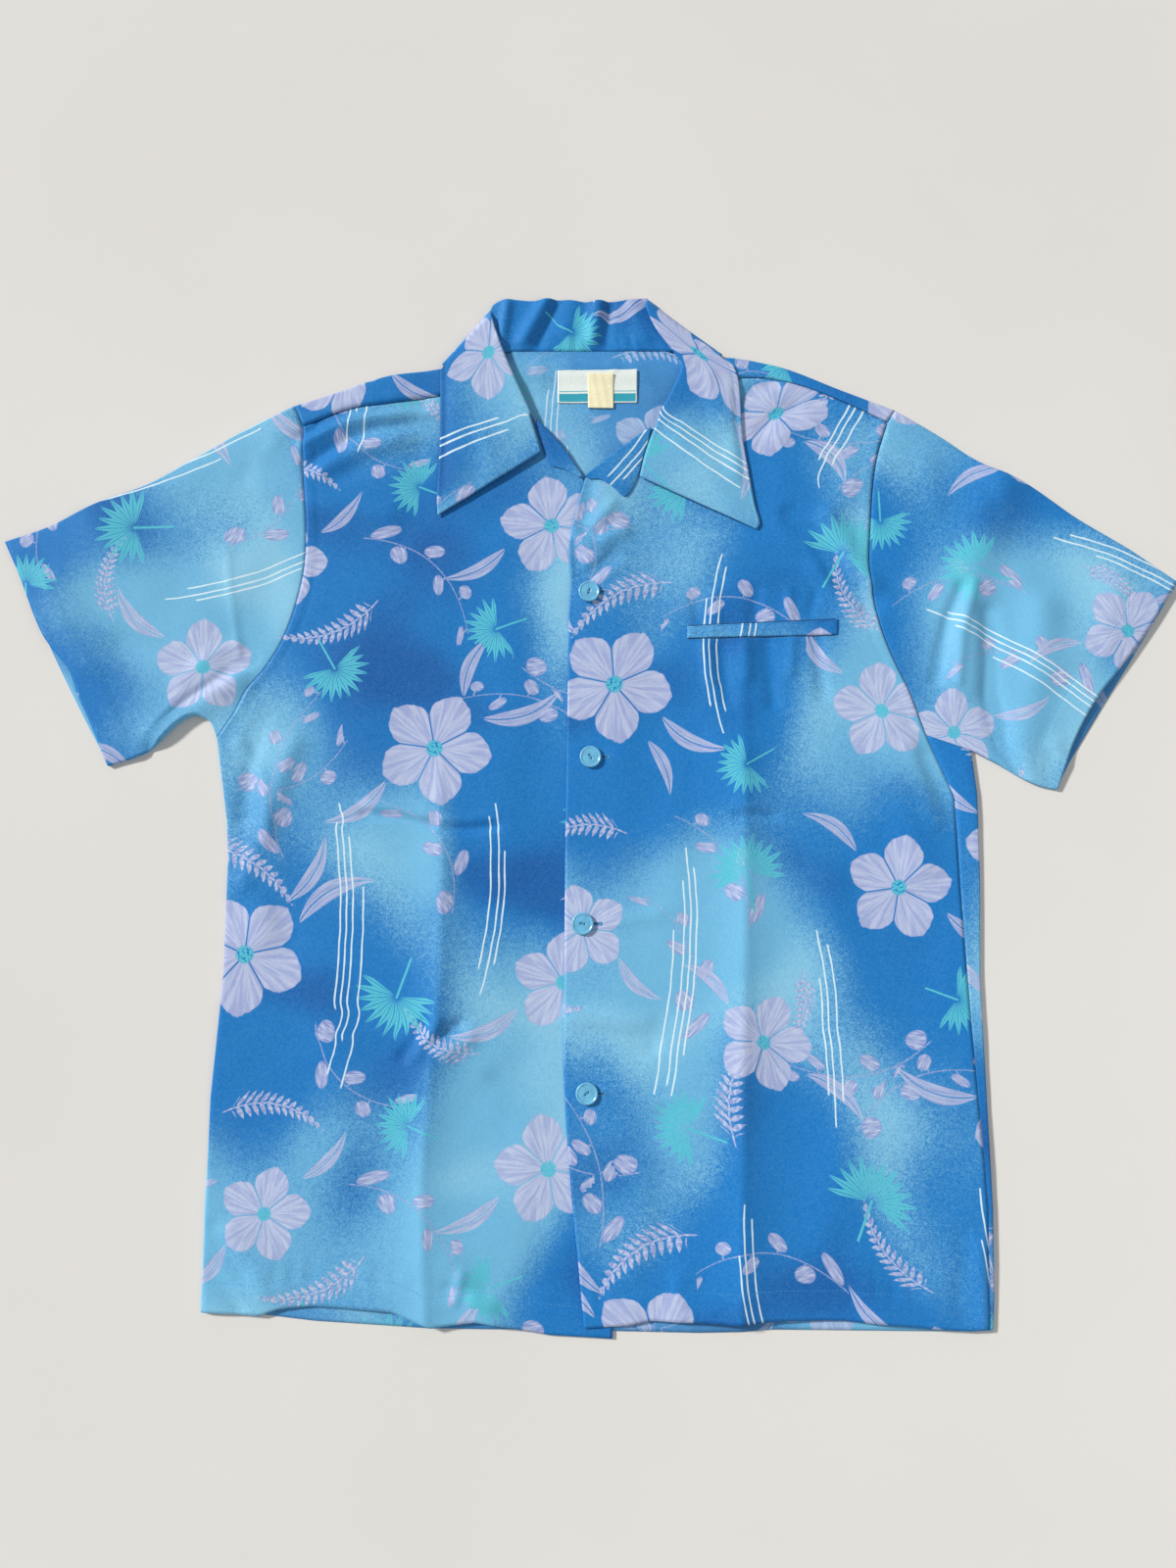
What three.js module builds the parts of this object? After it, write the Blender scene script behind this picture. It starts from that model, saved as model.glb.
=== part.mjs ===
// Short-sleeved hawaiian shirt, laid flat on its back with its buttons fastened.
// Millimetres. +X is the wearer's left, +Y the collar end, +Z up from the surface it lies on.
// Wearer's right is at low X. Each cloth piece is a wall through a grid of rows and columns.

import * as THREE from 'three';

// Cloth and seams
const WALL = 1.0;
const HALF = WALL / 2;
const SEAM = 0.3;
const PLY = WALL + SEAM;

// Heights of the middle of the wall in each layer
const LOWER = HALF;
const UPPER = LOWER + PLY;
const PUFF = 1.2;
const CUFF_PUFF = 0.9;

// Where the loft fades in or out, from and to. The lower layer steps up over the collar's fall.
const LOFT_FADE = { centre: [34, 70], collarY: [205, 175], collarX: [125, 150], cuff: [330, 400], overlap: [58, 22] };
const NECK_RISE = { slope: 0.0175, y: 200 };
const FALL_STEP = { y: [306, 317], x: [126, 114] };

// Middle of the outline, which becomes the origin
const MIDDLE = { x: 1.6, y: -4.6 };

// Numbers of grid cells
const SIDE_CELLS = 11;
const ARMHOLE_CELLS = 10;
const SHOULDER_CELLS = 6;
const NECK_CELLS = 3;
const BREAK_CELLS = 4;
const BACK_NECK_CELLS = 6;
const STRIP_CELLS = 2;
const TURN_CELLS = 4;
const SLEEVE_CELLS = 8;
const ROLL_CELLS = 4;
const STAND_CELLS = 2;
const FALL_CELLS = 4;

// Buttons, pocket and label
const BUTTON = { radius: 8, height: 2.6, rim: 1.6, dish: 0.9, segments: 20 };
const WELT = { cells: 6 };
const LABEL = { cells: 4, step: [290, 312] };

// Folded side edge at the wearer's right: y, x
const RIGHT_SIDE = [
  [-370, -269.3], [-300, -269], [-225, -268.2], [-142, -262.4], [-58, -261.8], [-29, -263.6], [34, -273.5],
];

// Folded side edge at the wearer's left, where the back comes round to the front: y, x
const LEFT_SIDE = [
  [-382, 281.2], [-361, 283], [-300, 284.5], [-142, 282], [-72, 284.8], [-7, 285.2], [24.5, 282],
];

// Side seam on the front at the wearer's left: y, x
const LEFT_SIDE_SEAM = [
  [-382, 278.5], [-300, 280.8], [-250, 278.5], [-177, 274.2], [-77, 270.1], [-10, 268.2], [13.5, 258.5], [36.2, 248.7],
];

// Armholes from the side seam to the forward shoulder seam: x, y
const RIGHT_ARMHOLE = [
  [-261, 53], [-252.7, 69.3], [-238.8, 87.8], [-226.4, 110.1], [-217.7, 136.4], [-212.6, 162.8],
  [-212, 193.3], [-215.6, 239.5], [-216.6, 273.7],
];
const LEFT_ARMHOLE = [
  [248.7, 36.2], [236.8, 70.7], [227.3, 91.5], [217.9, 117.6], [212.8, 143.9], [210.4, 162.8],
  [212, 193.3], [214.4, 224], [218.1, 247.2], [227.2, 276.8],
];

// Fold over each shoulder, from its tip to the neck, and the seam it comes forward to: x, y
const RIGHT_SHOULDER_FOLD = [[-223.8, 290.1], [-194.9, 299.6], [-154, 313.8], [-112, 320.1], [-80, 328]];
const RIGHT_SHOULDER_SEAM = [[-216.6, 273.7], [-182.6, 287.3], [-153.5, 292], [-111.7, 298.2], [-82, 303]];
const LEFT_SHOULDER_FOLD = [[234.2, 286.2], [192.7, 303], [151.1, 320.1], [114, 328.3], [86, 329]];
const LEFT_SHOULDER_SEAM = [[227.2, 276.8], [192.5, 293.7], [162.8, 305.9], [133.7, 312.2], [88, 311]];

// Neck edge of each front, and the line that its lapel breaks along: x, y
const RIGHT_NECK = [[-82, 303], [-70, 293], [-58, 287.5], [-47, 286.3]];
const RIGHT_BREAK = [[-47, 286.3], [-30.5, 270], [-19.5, 258], [-3, 231], [17, 200]];
const LEFT_NECK = [[88, 311], [78, 296], [65, 283], [52, 274]];
const LEFT_BREAK = [[52, 274], [29.8, 258.2], [11.2, 243], [-2.2, 232]];
const BACK_NECK = { y: 334.4, from: -57, to: 60 };

// Centre edges: y, x
const RIGHT_CENTRE = [[-387, 17], [200, 17]];
const LEFT_CENTRE = [
  [-381, -2.7], [-338, -6.8], [-292, -11.7], [-245, -15.3], [-204, -17.5], [-36, -16.5], [82, -14.9],
  [126, -14.2], [152, -12.6], [175, -14.7], [193, -12.6], [232, -2.2],
];

// Hems: x, y
const RIGHT_HEM = [
  [-270, -370], [-228, -372.3], [-215, -367.8], [-191, -365.8], [-136, -369.7], [-109, -380.1], [-78, -376.2],
  [-27, -385.3], [17, -388],
];
const LEFT_HEM = [
  [-3, -380.8], [27, -378.8], [44, -375.6], [102, -377.5], [129, -375.6], [177, -375.6], [245, -381.4],
  [265, -382.7], [282, -381.2],
];
const BACK_HEM = [
  [-260, -371], [-225, -372.3], [-191, -376.2], [-109, -381.4], [0, -382.7], [95, -384.7], [129, -382.1],
  [258, -383.4], [282, -382],
];

// Outlines of the sleeves: x, y
const RIGHT_SLEEVE = {
  top: [
    [-223.8, 290.1], [-261.3, 270.6], [-297.8, 248.8], [-334, 227.9], [-370.5, 214], [-406.4, 194.8], [-438.3, 183.4],
  ],
  under: [[-273.5, 34], [-279, 46], [-289.7, 50.1], [-300.4, 45], [-324.7, 23], [-352.3, 12.8]],
  cuffFront: [
    [-438.3, 183.4], [-426.5, 159], [-404.6, 110.1], [-384.2, 84.1], [-377.5, 67], [-367.8, 47.2], [-352.3, 12.8],
  ],
  cuffBack: [[-438.3, 183.4], [-404.6, 110.1], [-377, 56.7], [-352.3, 12.8]],
};
const LEFT_SLEEVE = {
  top: [
    [234.2, 286.2], [268.6, 265.1], [297.6, 244.9], [330.4, 229.4], [369.8, 200.9], [405.5, 178], [441.5, 152.2],
  ],
  under: [[282, 24.5], [302.6, 13.5], [316.7, 4.8], [330.7, -1.7], [343.5, -4.6]],
  cuffFront: [
    [441.5, 152.2], [432.6, 138.6], [416.5, 113.9], [393, 84.1], [375.9, 63.4], [357.6, 31], [343.5, -4.6],
  ],
  cuffBack: [[441.5, 152.2], [408.4, 98.9], [376.7, 50.8], [351.5, 10.6], [343.5, -4.6]],
};

// Largest folds of the upper layer, as soft ridges and troughs: from x, y, to x, y, half width, height
const FOLDS = [
  [312, 236, 284, 158, 22, 1.9],
  [284, 158, 276, 84, 20, 1.6],
  [338, 130, 316, 20, 17, 1.4],
  [-262, 82, -310, 48, 12, 1.5],
  [-240, 150, -262, 86, 15, -0.8],
  [-212, 262, -122, 244, 15, 1.2],
  [-205, 238, -120, 224, 12, -0.9],
  [-110, -20, -112, -330, 9, 1.0],
  [-124, -186, -76, -206, 8, 0.9],
  [108, 90, 112, -330, 8, 0.9],
  [144, 186, 208, 128, 16, 1.3],
  [86, 96, 96, 30, 12, 0.8],
  [-282, -296, -218, -352, 18, 1.2],
  [-96, -340, -62, -384, 11, 1.3],
  [62, -352, 54, -384, 12, 1.0],
  [190, -340, 204, -384, 12, 0.9],
  [222, 40, 240, -60, 13, 1.1],
  [-228, 20, -236, -110, 14, 0.9],
];

// Sections of the collar, from its end at the wearer's right round the back of the neck.
// n: neck seam, r: outermost point of the roll, e: outer edge, each x, y. z: heights of the three.
// flip: where the fall lies, 90 on top of the stand and -90 beneath it. A gorge section has no stand.
// A corner goes round the silhouette of a shoulder: half is half the height between its two layers.
const COLLAR = [
  { gorge: true, n: [-35, 252.6], r: [-35, 252.6], e: [-113.4, 203.4], z: [6.4, 6.4, 4.0], flip: 90 },
  { gorge: true, n: [-39.6, 267], r: [-39.6, 267], e: [-114, 216.3], z: [6.8, 6.8, 4.1], flip: 90 },
  { n: [-46, 285], r: [-42.5, 282], e: [-113.2, 238], z: [4.4, 6.2, 4.6], flip: 90 },
  { n: [-57.4, 289], r: [-49.5, 298], e: [-112.3, 262.8], z: [4.4, 6.3, 4.9], flip: 90 },
  { n: [-69.5, 295], r: [-57, 315], e: [-112.3, 284], z: [4.4, 6.4, 5.4], flip: 90 },
  { n: [-79.5, 305], r: [-64, 332], e: [-112.6, 303], z: [4.6, 6.4, 5.9], flip: 90 },
  { n: [-78, 318], r: [-70.5, 350], e: [-112.8, 316], z: [4.9, 6.2, 6.0], flip: 90 },
  { corner: true, n: [-75.5, 332], r: [-74, 366], e: [-111.8, 323.8], z: [3.6, 4.1, 3.25], half: [1.3, 2.0, 2.75] },
  { n: [-57, 334.7], r: [-62, 376.8], e: [-84, 327.5], z: [1.9, 2.1, 0.5], flip: -90 },
  { n: [-36, 334.7], r: [-39, 375.2], e: [-52, 329], z: [1.8, 2.1, 0.5], flip: -90 },
  { n: [-18, 334.7], r: [-19, 376.4], e: [-24, 329], z: [1.8, 2.1, 0.5], flip: -90 },
  { n: [2, 334.7], r: [0, 374.3], e: [0, 329], z: [1.8, 2.1, 0.5], flip: -90 },
  { n: [22, 334.7], r: [18, 375], e: [28, 329], z: [1.8, 2.1, 0.5], flip: -90 },
  { n: [58, 334.7], r: [36.5, 376.6], e: [72, 329.5], z: [1.9, 2.1, 0.5], flip: -90 },
  { corner: true, n: [77, 334.6], r: [44.5, 374], e: [103, 331.4], z: [3.6, 4.1, 3.25], half: [1.3, 2.0, 2.75] },
  { n: [84, 324], r: [51.5, 352], e: [111, 321], z: [4.9, 6.2, 6.0], flip: 90 },
  { n: [86, 311.5], r: [63.5, 335], e: [115, 307], z: [4.9, 6.4, 6.0], flip: 90 },
  { n: [77.5, 298], r: [71, 322], e: [116.2, 286], z: [4.6, 6.4, 5.4], flip: 90 },
  { n: [64.5, 284.8], r: [64.5, 303], e: [117.5, 264], z: [4.6, 6.3, 4.9], flip: 90 },
  { n: [52.6, 275.8], r: [54, 283], e: [121, 240], z: [5.0, 6.4, 4.6], flip: 90 },
  { gorge: true, n: [47.6, 264], r: [47.6, 264], e: [125.9, 211], z: [6.4, 6.4, 4.1], flip: 90 },
  { gorge: true, n: [42.6, 249], r: [42.6, 249], e: [129.3, 197.5], z: [6.2, 6.2, 4.0], flip: 90 },
  { gorge: true, n: [38.9, 233.3], r: [38.9, 233.3], e: [127.1, 192.5], z: [5.9, 5.9, 4.0], flip: 90 },
];
const ROLL_RADIUS = 1.6;
const SILHOUETTE_TURNS = [75, 45, 15, -15, -45, -75];
const CORNER_STEP = 1.5;

// Lapels turned out at the neck, each between its break line and its outer edge: x, y
const LEFT_LAPEL = {
  inner: [[-1.8, 233.4], [6, 239.6], [16, 247.8], [26, 256], [36, 263.5], [43, 268.6], [48, 272]],
  outer: [[1, 231.6], [8.9, 231.2], [18.6, 225.3], [28.2, 217.8], [37.6, 233.3], [41.2, 248], [45.6, 261.5]],
};
const RIGHT_LAPEL = {
  inner: [[-41, 279.4], [-35, 273.6], [-27, 265.4], [-19, 256], [-11, 243.6], [-4.4, 233.6]],
  outer: [[-40.4, 276.4], [-36, 263], [-32.6, 252], [-29.4, 243.2], [-18, 239.6], [-6.4, 233]],
};

// Corners of the pocket welt, the label and the size tab, low X edge first: x, y
const POCKET_WELT = { low: [[73.8, 108.6], [185.9, 111.5]], high: [[73.8, 118], [186.6, 123.3]] };
const NECK_LABEL = { low: [[-23.3, 293], [37.6, 293.6]], high: [[-23.3, 318.6], [37.6, 319.3]] };
const SIZE_TAB = { low: [[0, 289], [19.5, 289]], high: [[0, 316], [19.5, 316]] };

// Middles of the buttons: x, y
const BUTTONS = [[0.9, 144.2], [1.9, 19.5], [-3.8, -102.1], [-0.8, -221.7]];

const up = new THREE.Vector3(0, 0, 1);
const down = new THREE.Vector3(0, 0, -1);

// Value between the rows of a table whose first column rises
function lookUp(table, key) {
  const last = table.length - 1;
  for (let row = 0; row < last; row++) {
    const [k0, v0] = table[row];
    const [k1, v1] = table[row + 1];
    if (key <= k1 || row === last - 1) {
      return v0 + (v1 - v0) * (key - k0) / (k1 - k0);
    }
  }
  return table[0][1];
}

function ramp(value, from, to) {
  return THREE.MathUtils.clamp((value - from) / (to - from), 0, 1);
}

function plan([x, y]) {
  return new THREE.Vector3(x, y, 0);
}

function mix(a, b, t) {
  return a.clone().lerp(b, t);
}

function range(count) {
  return Array.from({ length: count + 1 }, (_, k) => k);
}

// Points at equal steps along a smooth curve through a short table
function along(table, cells) {
  const curve = new THREE.CatmullRomCurve3(table.map(plan), false, 'centripetal');
  return range(cells).map((k) => curve.getPointAt(k / cells));
}

// Same curve, with its steps in the proportions given
function alongAt(table, fractions) {
  const curve = new THREE.CatmullRomCurve3(table.map(plan), false, 'centripetal');
  return fractions.map((f) => curve.getPointAt(THREE.MathUtils.clamp(f, 0, 1)));
}

function lengthFractions(points) {
  const sums = [0];
  for (let k = 1; k < points.length; k++) {
    sums.push(sums[k - 1] + points[k].distanceTo(points[k - 1]));
  }
  return sums.map((s) => s / sums[sums.length - 1]);
}

// Soft ridge along a line, fading past its ends
function foldHeight(x, y, [x0, y0, x1, y1, width, height]) {
  const dx = x1 - x0;
  const dy = y1 - y0;
  const t = THREE.MathUtils.clamp(((x - x0) * dx + (y - y0) * dy) / (dx * dx + dy * dy), 0, 1);
  const distance = Math.hypot(x - x0 - t * dx, y - y0 - t * dy);
  return height * Math.exp(-((distance / width) ** 2));
}

// The cloth rises to the neck, where the collar's fall and stand lie under it
function neckRise(y) {
  return NECK_RISE.slope * Math.max(0, y - NECK_RISE.y);
}

// Height of the lower layer, which steps up over the collar's fall
function lowerHeight(x, y) {
  return LOWER + PLY * ramp(y, ...FALL_STEP.y) * ramp(Math.abs(x), ...FALL_STEP.x);
}

// Height of the upper layer, which lies close at the front edge and under the collar
function upperHeight(x, y) {
  const awayFromEdge = ramp(Math.abs(x), ...LOFT_FADE.centre);
  const belowCollar = Math.max(ramp(y, ...LOFT_FADE.collarY), ramp(Math.abs(x), ...LOFT_FADE.collarX));
  const nearCuff = ramp(Math.abs(x), ...LOFT_FADE.cuff);
  const folds = FOLDS.reduce((sum, fold) => sum + foldHeight(x, y, fold), 0);
  const loft = PUFF + folds;
  return UPPER + neckRise(y) + Math.max(0, loft) * awayFromEdge * belowCollar + CUFF_PUFF * nearCuff;
}

// The left front also lies over the right front's edge
function overlapHeight(x, y) {
  return upperHeight(x, y) + PLY * ramp(x, ...LOFT_FADE.overlap);
}

function onLayer(point, height, normal) {
  return { p: new THREE.Vector3(point.x, point.y, height(point.x, point.y)), n: normal };
}

// Half circle round a folded edge, from the upper layer to the lower one
function turn(edge, inward, high, low, cells = TURN_CELLS) {
  const probe = edge.clone().addScaledVector(inward, 2);
  const top = high(probe.x, probe.y);
  const bottom = low(probe.x, probe.y);
  const radius = (top - bottom) / 2;
  const centre = edge.clone().addScaledVector(inward, radius + HALF);
  centre.z = (top + bottom) / 2;
  return range(cells).map((k) => {
    const angle = Math.PI * k / cells;
    const out = inward.clone().multiplyScalar(-Math.sin(angle)).addScaledVector(up, Math.cos(angle));
    return { p: centre.clone().addScaledVector(out, radius), n: out };
  });
}

// Grid of plan points between four edges, blended evenly
function blend(left, right, bottom, top, across, upward) {
  const rows = left.length - 1;
  const columns = bottom.length - 1;
  return range(rows).map((i) => range(columns).map((j) => {
    const u = across[j];
    const v = upward[i];
    const point = mix(bottom[j], top[j], v).add(mix(left[i], right[i], u));
    const corners = mix(mix(bottom[0], bottom[columns], u), mix(top[0], top[columns], u), v);
    return point.sub(corners);
  }));
}

function fractionsOf(points, axis) {
  const first = points[0][axis];
  const span = points[points.length - 1][axis] - first;
  return points.map((point) => (point[axis] - first) / span);
}

// Closed wall through a grid. A null place in the grid is left open. Columns may close on themselves.
function wall(grid, closed = false) {
  const positions = [];
  const triangles = [];
  const edges = new Map();
  const columns = grid[0].length;
  const vertex = (i, j) => {
    const place = grid[i][j % columns];
    if (place && place.id === undefined) {
      place.id = positions.length / 6;
      const outer = place.p.clone().addScaledVector(place.n, HALF);
      const inner = place.p.clone().addScaledVector(place.n, -HALF);
      positions.push(...outer.toArray(), ...inner.toArray());
    }
    return place ? place.id : null;
  };
  const columnCells = closed ? columns : columns - 1;
  for (let i = 0; i < grid.length - 1; i++) {
    for (let j = 0; j < columnCells; j++) {
      const loop = [vertex(i, j), vertex(i, j + 1), vertex(i + 1, j + 1), vertex(i + 1, j)];
      if (loop.includes(null)) {
        continue;
      }
      const [a, b, c, d] = loop;
      triangles.push([2 * a, 2 * b, 2 * c], [2 * a, 2 * c, 2 * d]);
      triangles.push([2 * a + 1, 2 * c + 1, 2 * b + 1], [2 * a + 1, 2 * d + 1, 2 * c + 1]);
      loop.forEach((from, k) => edges.set(`${from} ${loop[(k + 1) % 4]}`, [from, loop[(k + 1) % 4]]));
    }
  }
  for (const [from, to] of edges.values()) {
    if (!edges.has(`${to} ${from}`)) {
      triangles.push([2 * to, 2 * from, 2 * from + 1], [2 * to, 2 * from + 1, 2 * to + 1]);
    }
  }
  return solid(positions, triangles);
}

// Geometry with its faces turned outward
function solid(positions, triangles) {
  const corner = (id) => new THREE.Vector3().fromArray(positions, 3 * id);
  let volume = 0;
  for (const [a, b, c] of triangles) {
    volume += corner(a).dot(corner(b).cross(corner(c)));
  }
  const index = triangles.flatMap(([a, b, c]) => (volume < 0 ? [a, c, b] : [a, b, c]));
  const geometry = new THREE.BufferGeometry();
  geometry.setAttribute('position', new THREE.Float32BufferAttribute(positions, 3));
  geometry.setIndex(index);
  geometry.computeVertexNormals();
  return geometry;
}

// Height of a panel's top face at a place, read from the panel's own cells
function topFace(grid, x, y) {
  let best = null;
  const corner = (place) => place.p.clone().addScaledVector(place.n, HALF);
  for (let i = 0; i < grid.length - 1; i++) {
    for (let j = 0; j < grid[0].length - 1; j++) {
      const places = [grid[i][j], grid[i][j + 1], grid[i + 1][j + 1], grid[i + 1][j]];
      if (places.includes(null) || places.some((place) => Math.abs(place.n.z) < 0.99)) {
        continue;
      }
      const [a, b, c, d] = places.map(corner);
      for (const [p, q, r] of [[a, b, c], [a, c, d]]) {
        const area = (q.x - p.x) * (r.y - p.y) - (r.x - p.x) * (q.y - p.y);
        const s = ((q.x - x) * (r.y - y) - (r.x - x) * (q.y - y)) / area;
        const t = ((r.x - x) * (p.y - y) - (p.x - x) * (r.y - y)) / area;
        if (s >= -0.001 && t >= -0.001 && s + t <= 1.001) {
          const height = s * p.z + t * q.z + (1 - s - t) * r.z;
          best = best === null ? height : Math.max(best, height);
        }
      }
    }
  }
  return best;
}

// Flat pieces that lie on something, between a low edge and a high edge
function patch(lowEdge, highEdge, cells, height) {
  return range(cells).map((i) => lowEdge.map((low, j) => {
    const point = mix(low, highEdge[j], i / cells);
    return { p: new THREE.Vector3(point.x, point.y, height(point.x, point.y) + SEAM + HALF), n: up };
  }));
}

function straight([from, to], cells) {
  return range(cells).map((k) => mix(plan(from), plan(to), k / cells));
}

function inset(points, dx) {
  return points.map((point) => point.clone().setX(point.x + dx));
}

function direction(from, to) {
  return to.clone().sub(from).setZ(0).normalize();
}

// Where the side seams end at the armholes, and where the folded sides do
const rightLanding = plan(RIGHT_ARMHOLE[0]);
const leftLanding = plan(LEFT_ARMHOLE[0]);
const rightUnderarm = plan(RIGHT_SLEEVE.under[0]);
const leftUnderarm = plan(LEFT_SLEEVE.under[0]);

// Rows of the two sides: the folded edge, and the seam that the folded strip ends at
const rightSideRows = range(SIDE_CELLS + 1).map((k) => {
  const t = k / (SIDE_CELLS + 1);
  const y = THREE.MathUtils.lerp(-370, rightUnderarm.y, t);
  const seamY = THREE.MathUtils.lerp(-370.6, rightLanding.y, t);
  const edge = plan([lookUp(RIGHT_SIDE, y), y]);
  const seam = plan([THREE.MathUtils.lerp(-257, rightLanding.x, t ** 2), seamY]);
  return { edge, seam, inward: direction(edge, seam) };
});
const leftSideRows = range(SIDE_CELLS).map((k) => {
  const t = k / SIDE_CELLS;
  const y = THREE.MathUtils.lerp(-382, leftUnderarm.y, t);
  const seamY = THREE.MathUtils.lerp(-382, leftLanding.y, t);
  const edge = plan([lookUp(LEFT_SIDE, y), y]);
  const seam = plan([lookUp(LEFT_SIDE_SEAM, seamY), seamY]);
  return { edge, seam, inward: direction(edge, seam) };
});

const rightArmhole = along(RIGHT_ARMHOLE, ARMHOLE_CELLS);
const leftArmhole = along(LEFT_ARMHOLE, ARMHOLE_CELLS);
const rightShoulder = shoulder(RIGHT_SHOULDER_FOLD, RIGHT_SHOULDER_SEAM);
const leftShoulder = shoulder(LEFT_SHOULDER_FOLD, LEFT_SHOULDER_SEAM);

// Columns over a shoulder: the fold's outermost point, and the seam on the front
function shoulder(fold, seam) {
  const foldPoints = along(fold, SHOULDER_CELLS);
  const seamPoints = along(seam, SHOULDER_CELLS);
  return foldPoints.map((edge, k) => ({ edge, seam: seamPoints[k], inward: direction(edge, seamPoints[k]) }));
}

// Right front: its outer side curls under to meet the back
function rightFront() {
  const curls = rightSideRows.map(({ edge, inward }) => turn(edge, inward, upperHeight, lowerHeight));
  const outer = [...curls.map((curl) => curl[0].p.clone().setZ(0)), ...inset(rightArmhole, SEAM / 2)];
  const top = [
    ...rightShoulder.map(({ seam }) => seam.clone().setY(seam.y - SEAM / 2)),
    ...along(RIGHT_NECK, NECK_CELLS).slice(1),
    ...along(RIGHT_BREAK, BREAK_CELLS).slice(1),
  ];
  top[0] = outer[outer.length - 1].clone().setY(top[0].y);
  outer[outer.length - 1] = top[0].clone();
  const across = fractionsOf(top, 'x');
  const upward = fractionsOf(outer, 'y');
  const hemX = (u) => THREE.MathUtils.lerp(outer[0].x, lookUp(RIGHT_CENTRE, -387), u);
  const hem = across.map((u) => plan([hemX(u), u === 0 ? outer[0].y : lookUp(RIGHT_HEM, hemX(u))]));
  const centreTop = top[top.length - 1].y;
  const centreLow = hem[hem.length - 1].y;
  const centre = upward.map((v) => {
    const y = THREE.MathUtils.lerp(centreLow, centreTop, v);
    return plan([lookUp(RIGHT_CENTRE, y), y]);
  });
  const sheet = blend(outer, centre, hem, top, across, upward);
  return sheet.map((row, i) => {
    const flat = row.map((point) => onLayer(point, upperHeight, up));
    if (i >= curls.length) {
      return [...Array(TURN_CELLS + STRIP_CELLS).fill(null), ...flat];
    }
    const curl = curls[i].slice(1).reverse();
    const inner = curls[i][TURN_CELLS].p;
    const end = rightSideRows[i].seam.clone().addScaledVector(rightSideRows[i].inward, -SEAM / 2);
    const strip = range(STRIP_CELLS - 1).map((k) => {
      return onLayer(mix(end, inner, k / STRIP_CELLS), lowerHeight, down);
    });
    return [...strip, ...curl, ...flat];
  });
}

// Left front, which laps over the right one
function leftFront() {
  const side = leftSideRows.map(({ seam, inward }) => seam.clone().addScaledVector(inward, SEAM / 2));
  const outer = [...side, ...inset(leftArmhole, -SEAM / 2).slice(1)];
  const top = [
    ...leftShoulder.map(({ seam }) => seam.clone().setY(seam.y - SEAM / 2)),
    ...along(LEFT_NECK, NECK_CELLS).slice(1),
    ...along(LEFT_BREAK, BREAK_CELLS).slice(1),
  ];
  top[0] = outer[outer.length - 1].clone().setY(top[0].y);
  outer[outer.length - 1] = top[0].clone();
  const across = fractionsOf(top, 'x');
  const upward = fractionsOf(outer, 'y');
  const centreLow = LEFT_HEM[0][1];
  const centreTop = top[top.length - 1].y;
  const centre = upward.map((v) => {
    const y = THREE.MathUtils.lerp(centreLow, centreTop, v);
    return plan([lookUp(LEFT_CENTRE, y), y]);
  });
  const hem = across.map((u) => {
    const x = THREE.MathUtils.lerp(outer[0].x, centre[0].x, u);
    return plan([x, u === 0 ? outer[0].y : lookUp(LEFT_HEM, x)]);
  });
  hem[hem.length - 1] = centre[0].clone();
  const sheet = blend(outer, centre, hem, top, across, upward);
  return sheet.map((row) => row.map((point) => onLayer(point, overlapHeight, up)));
}

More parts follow.
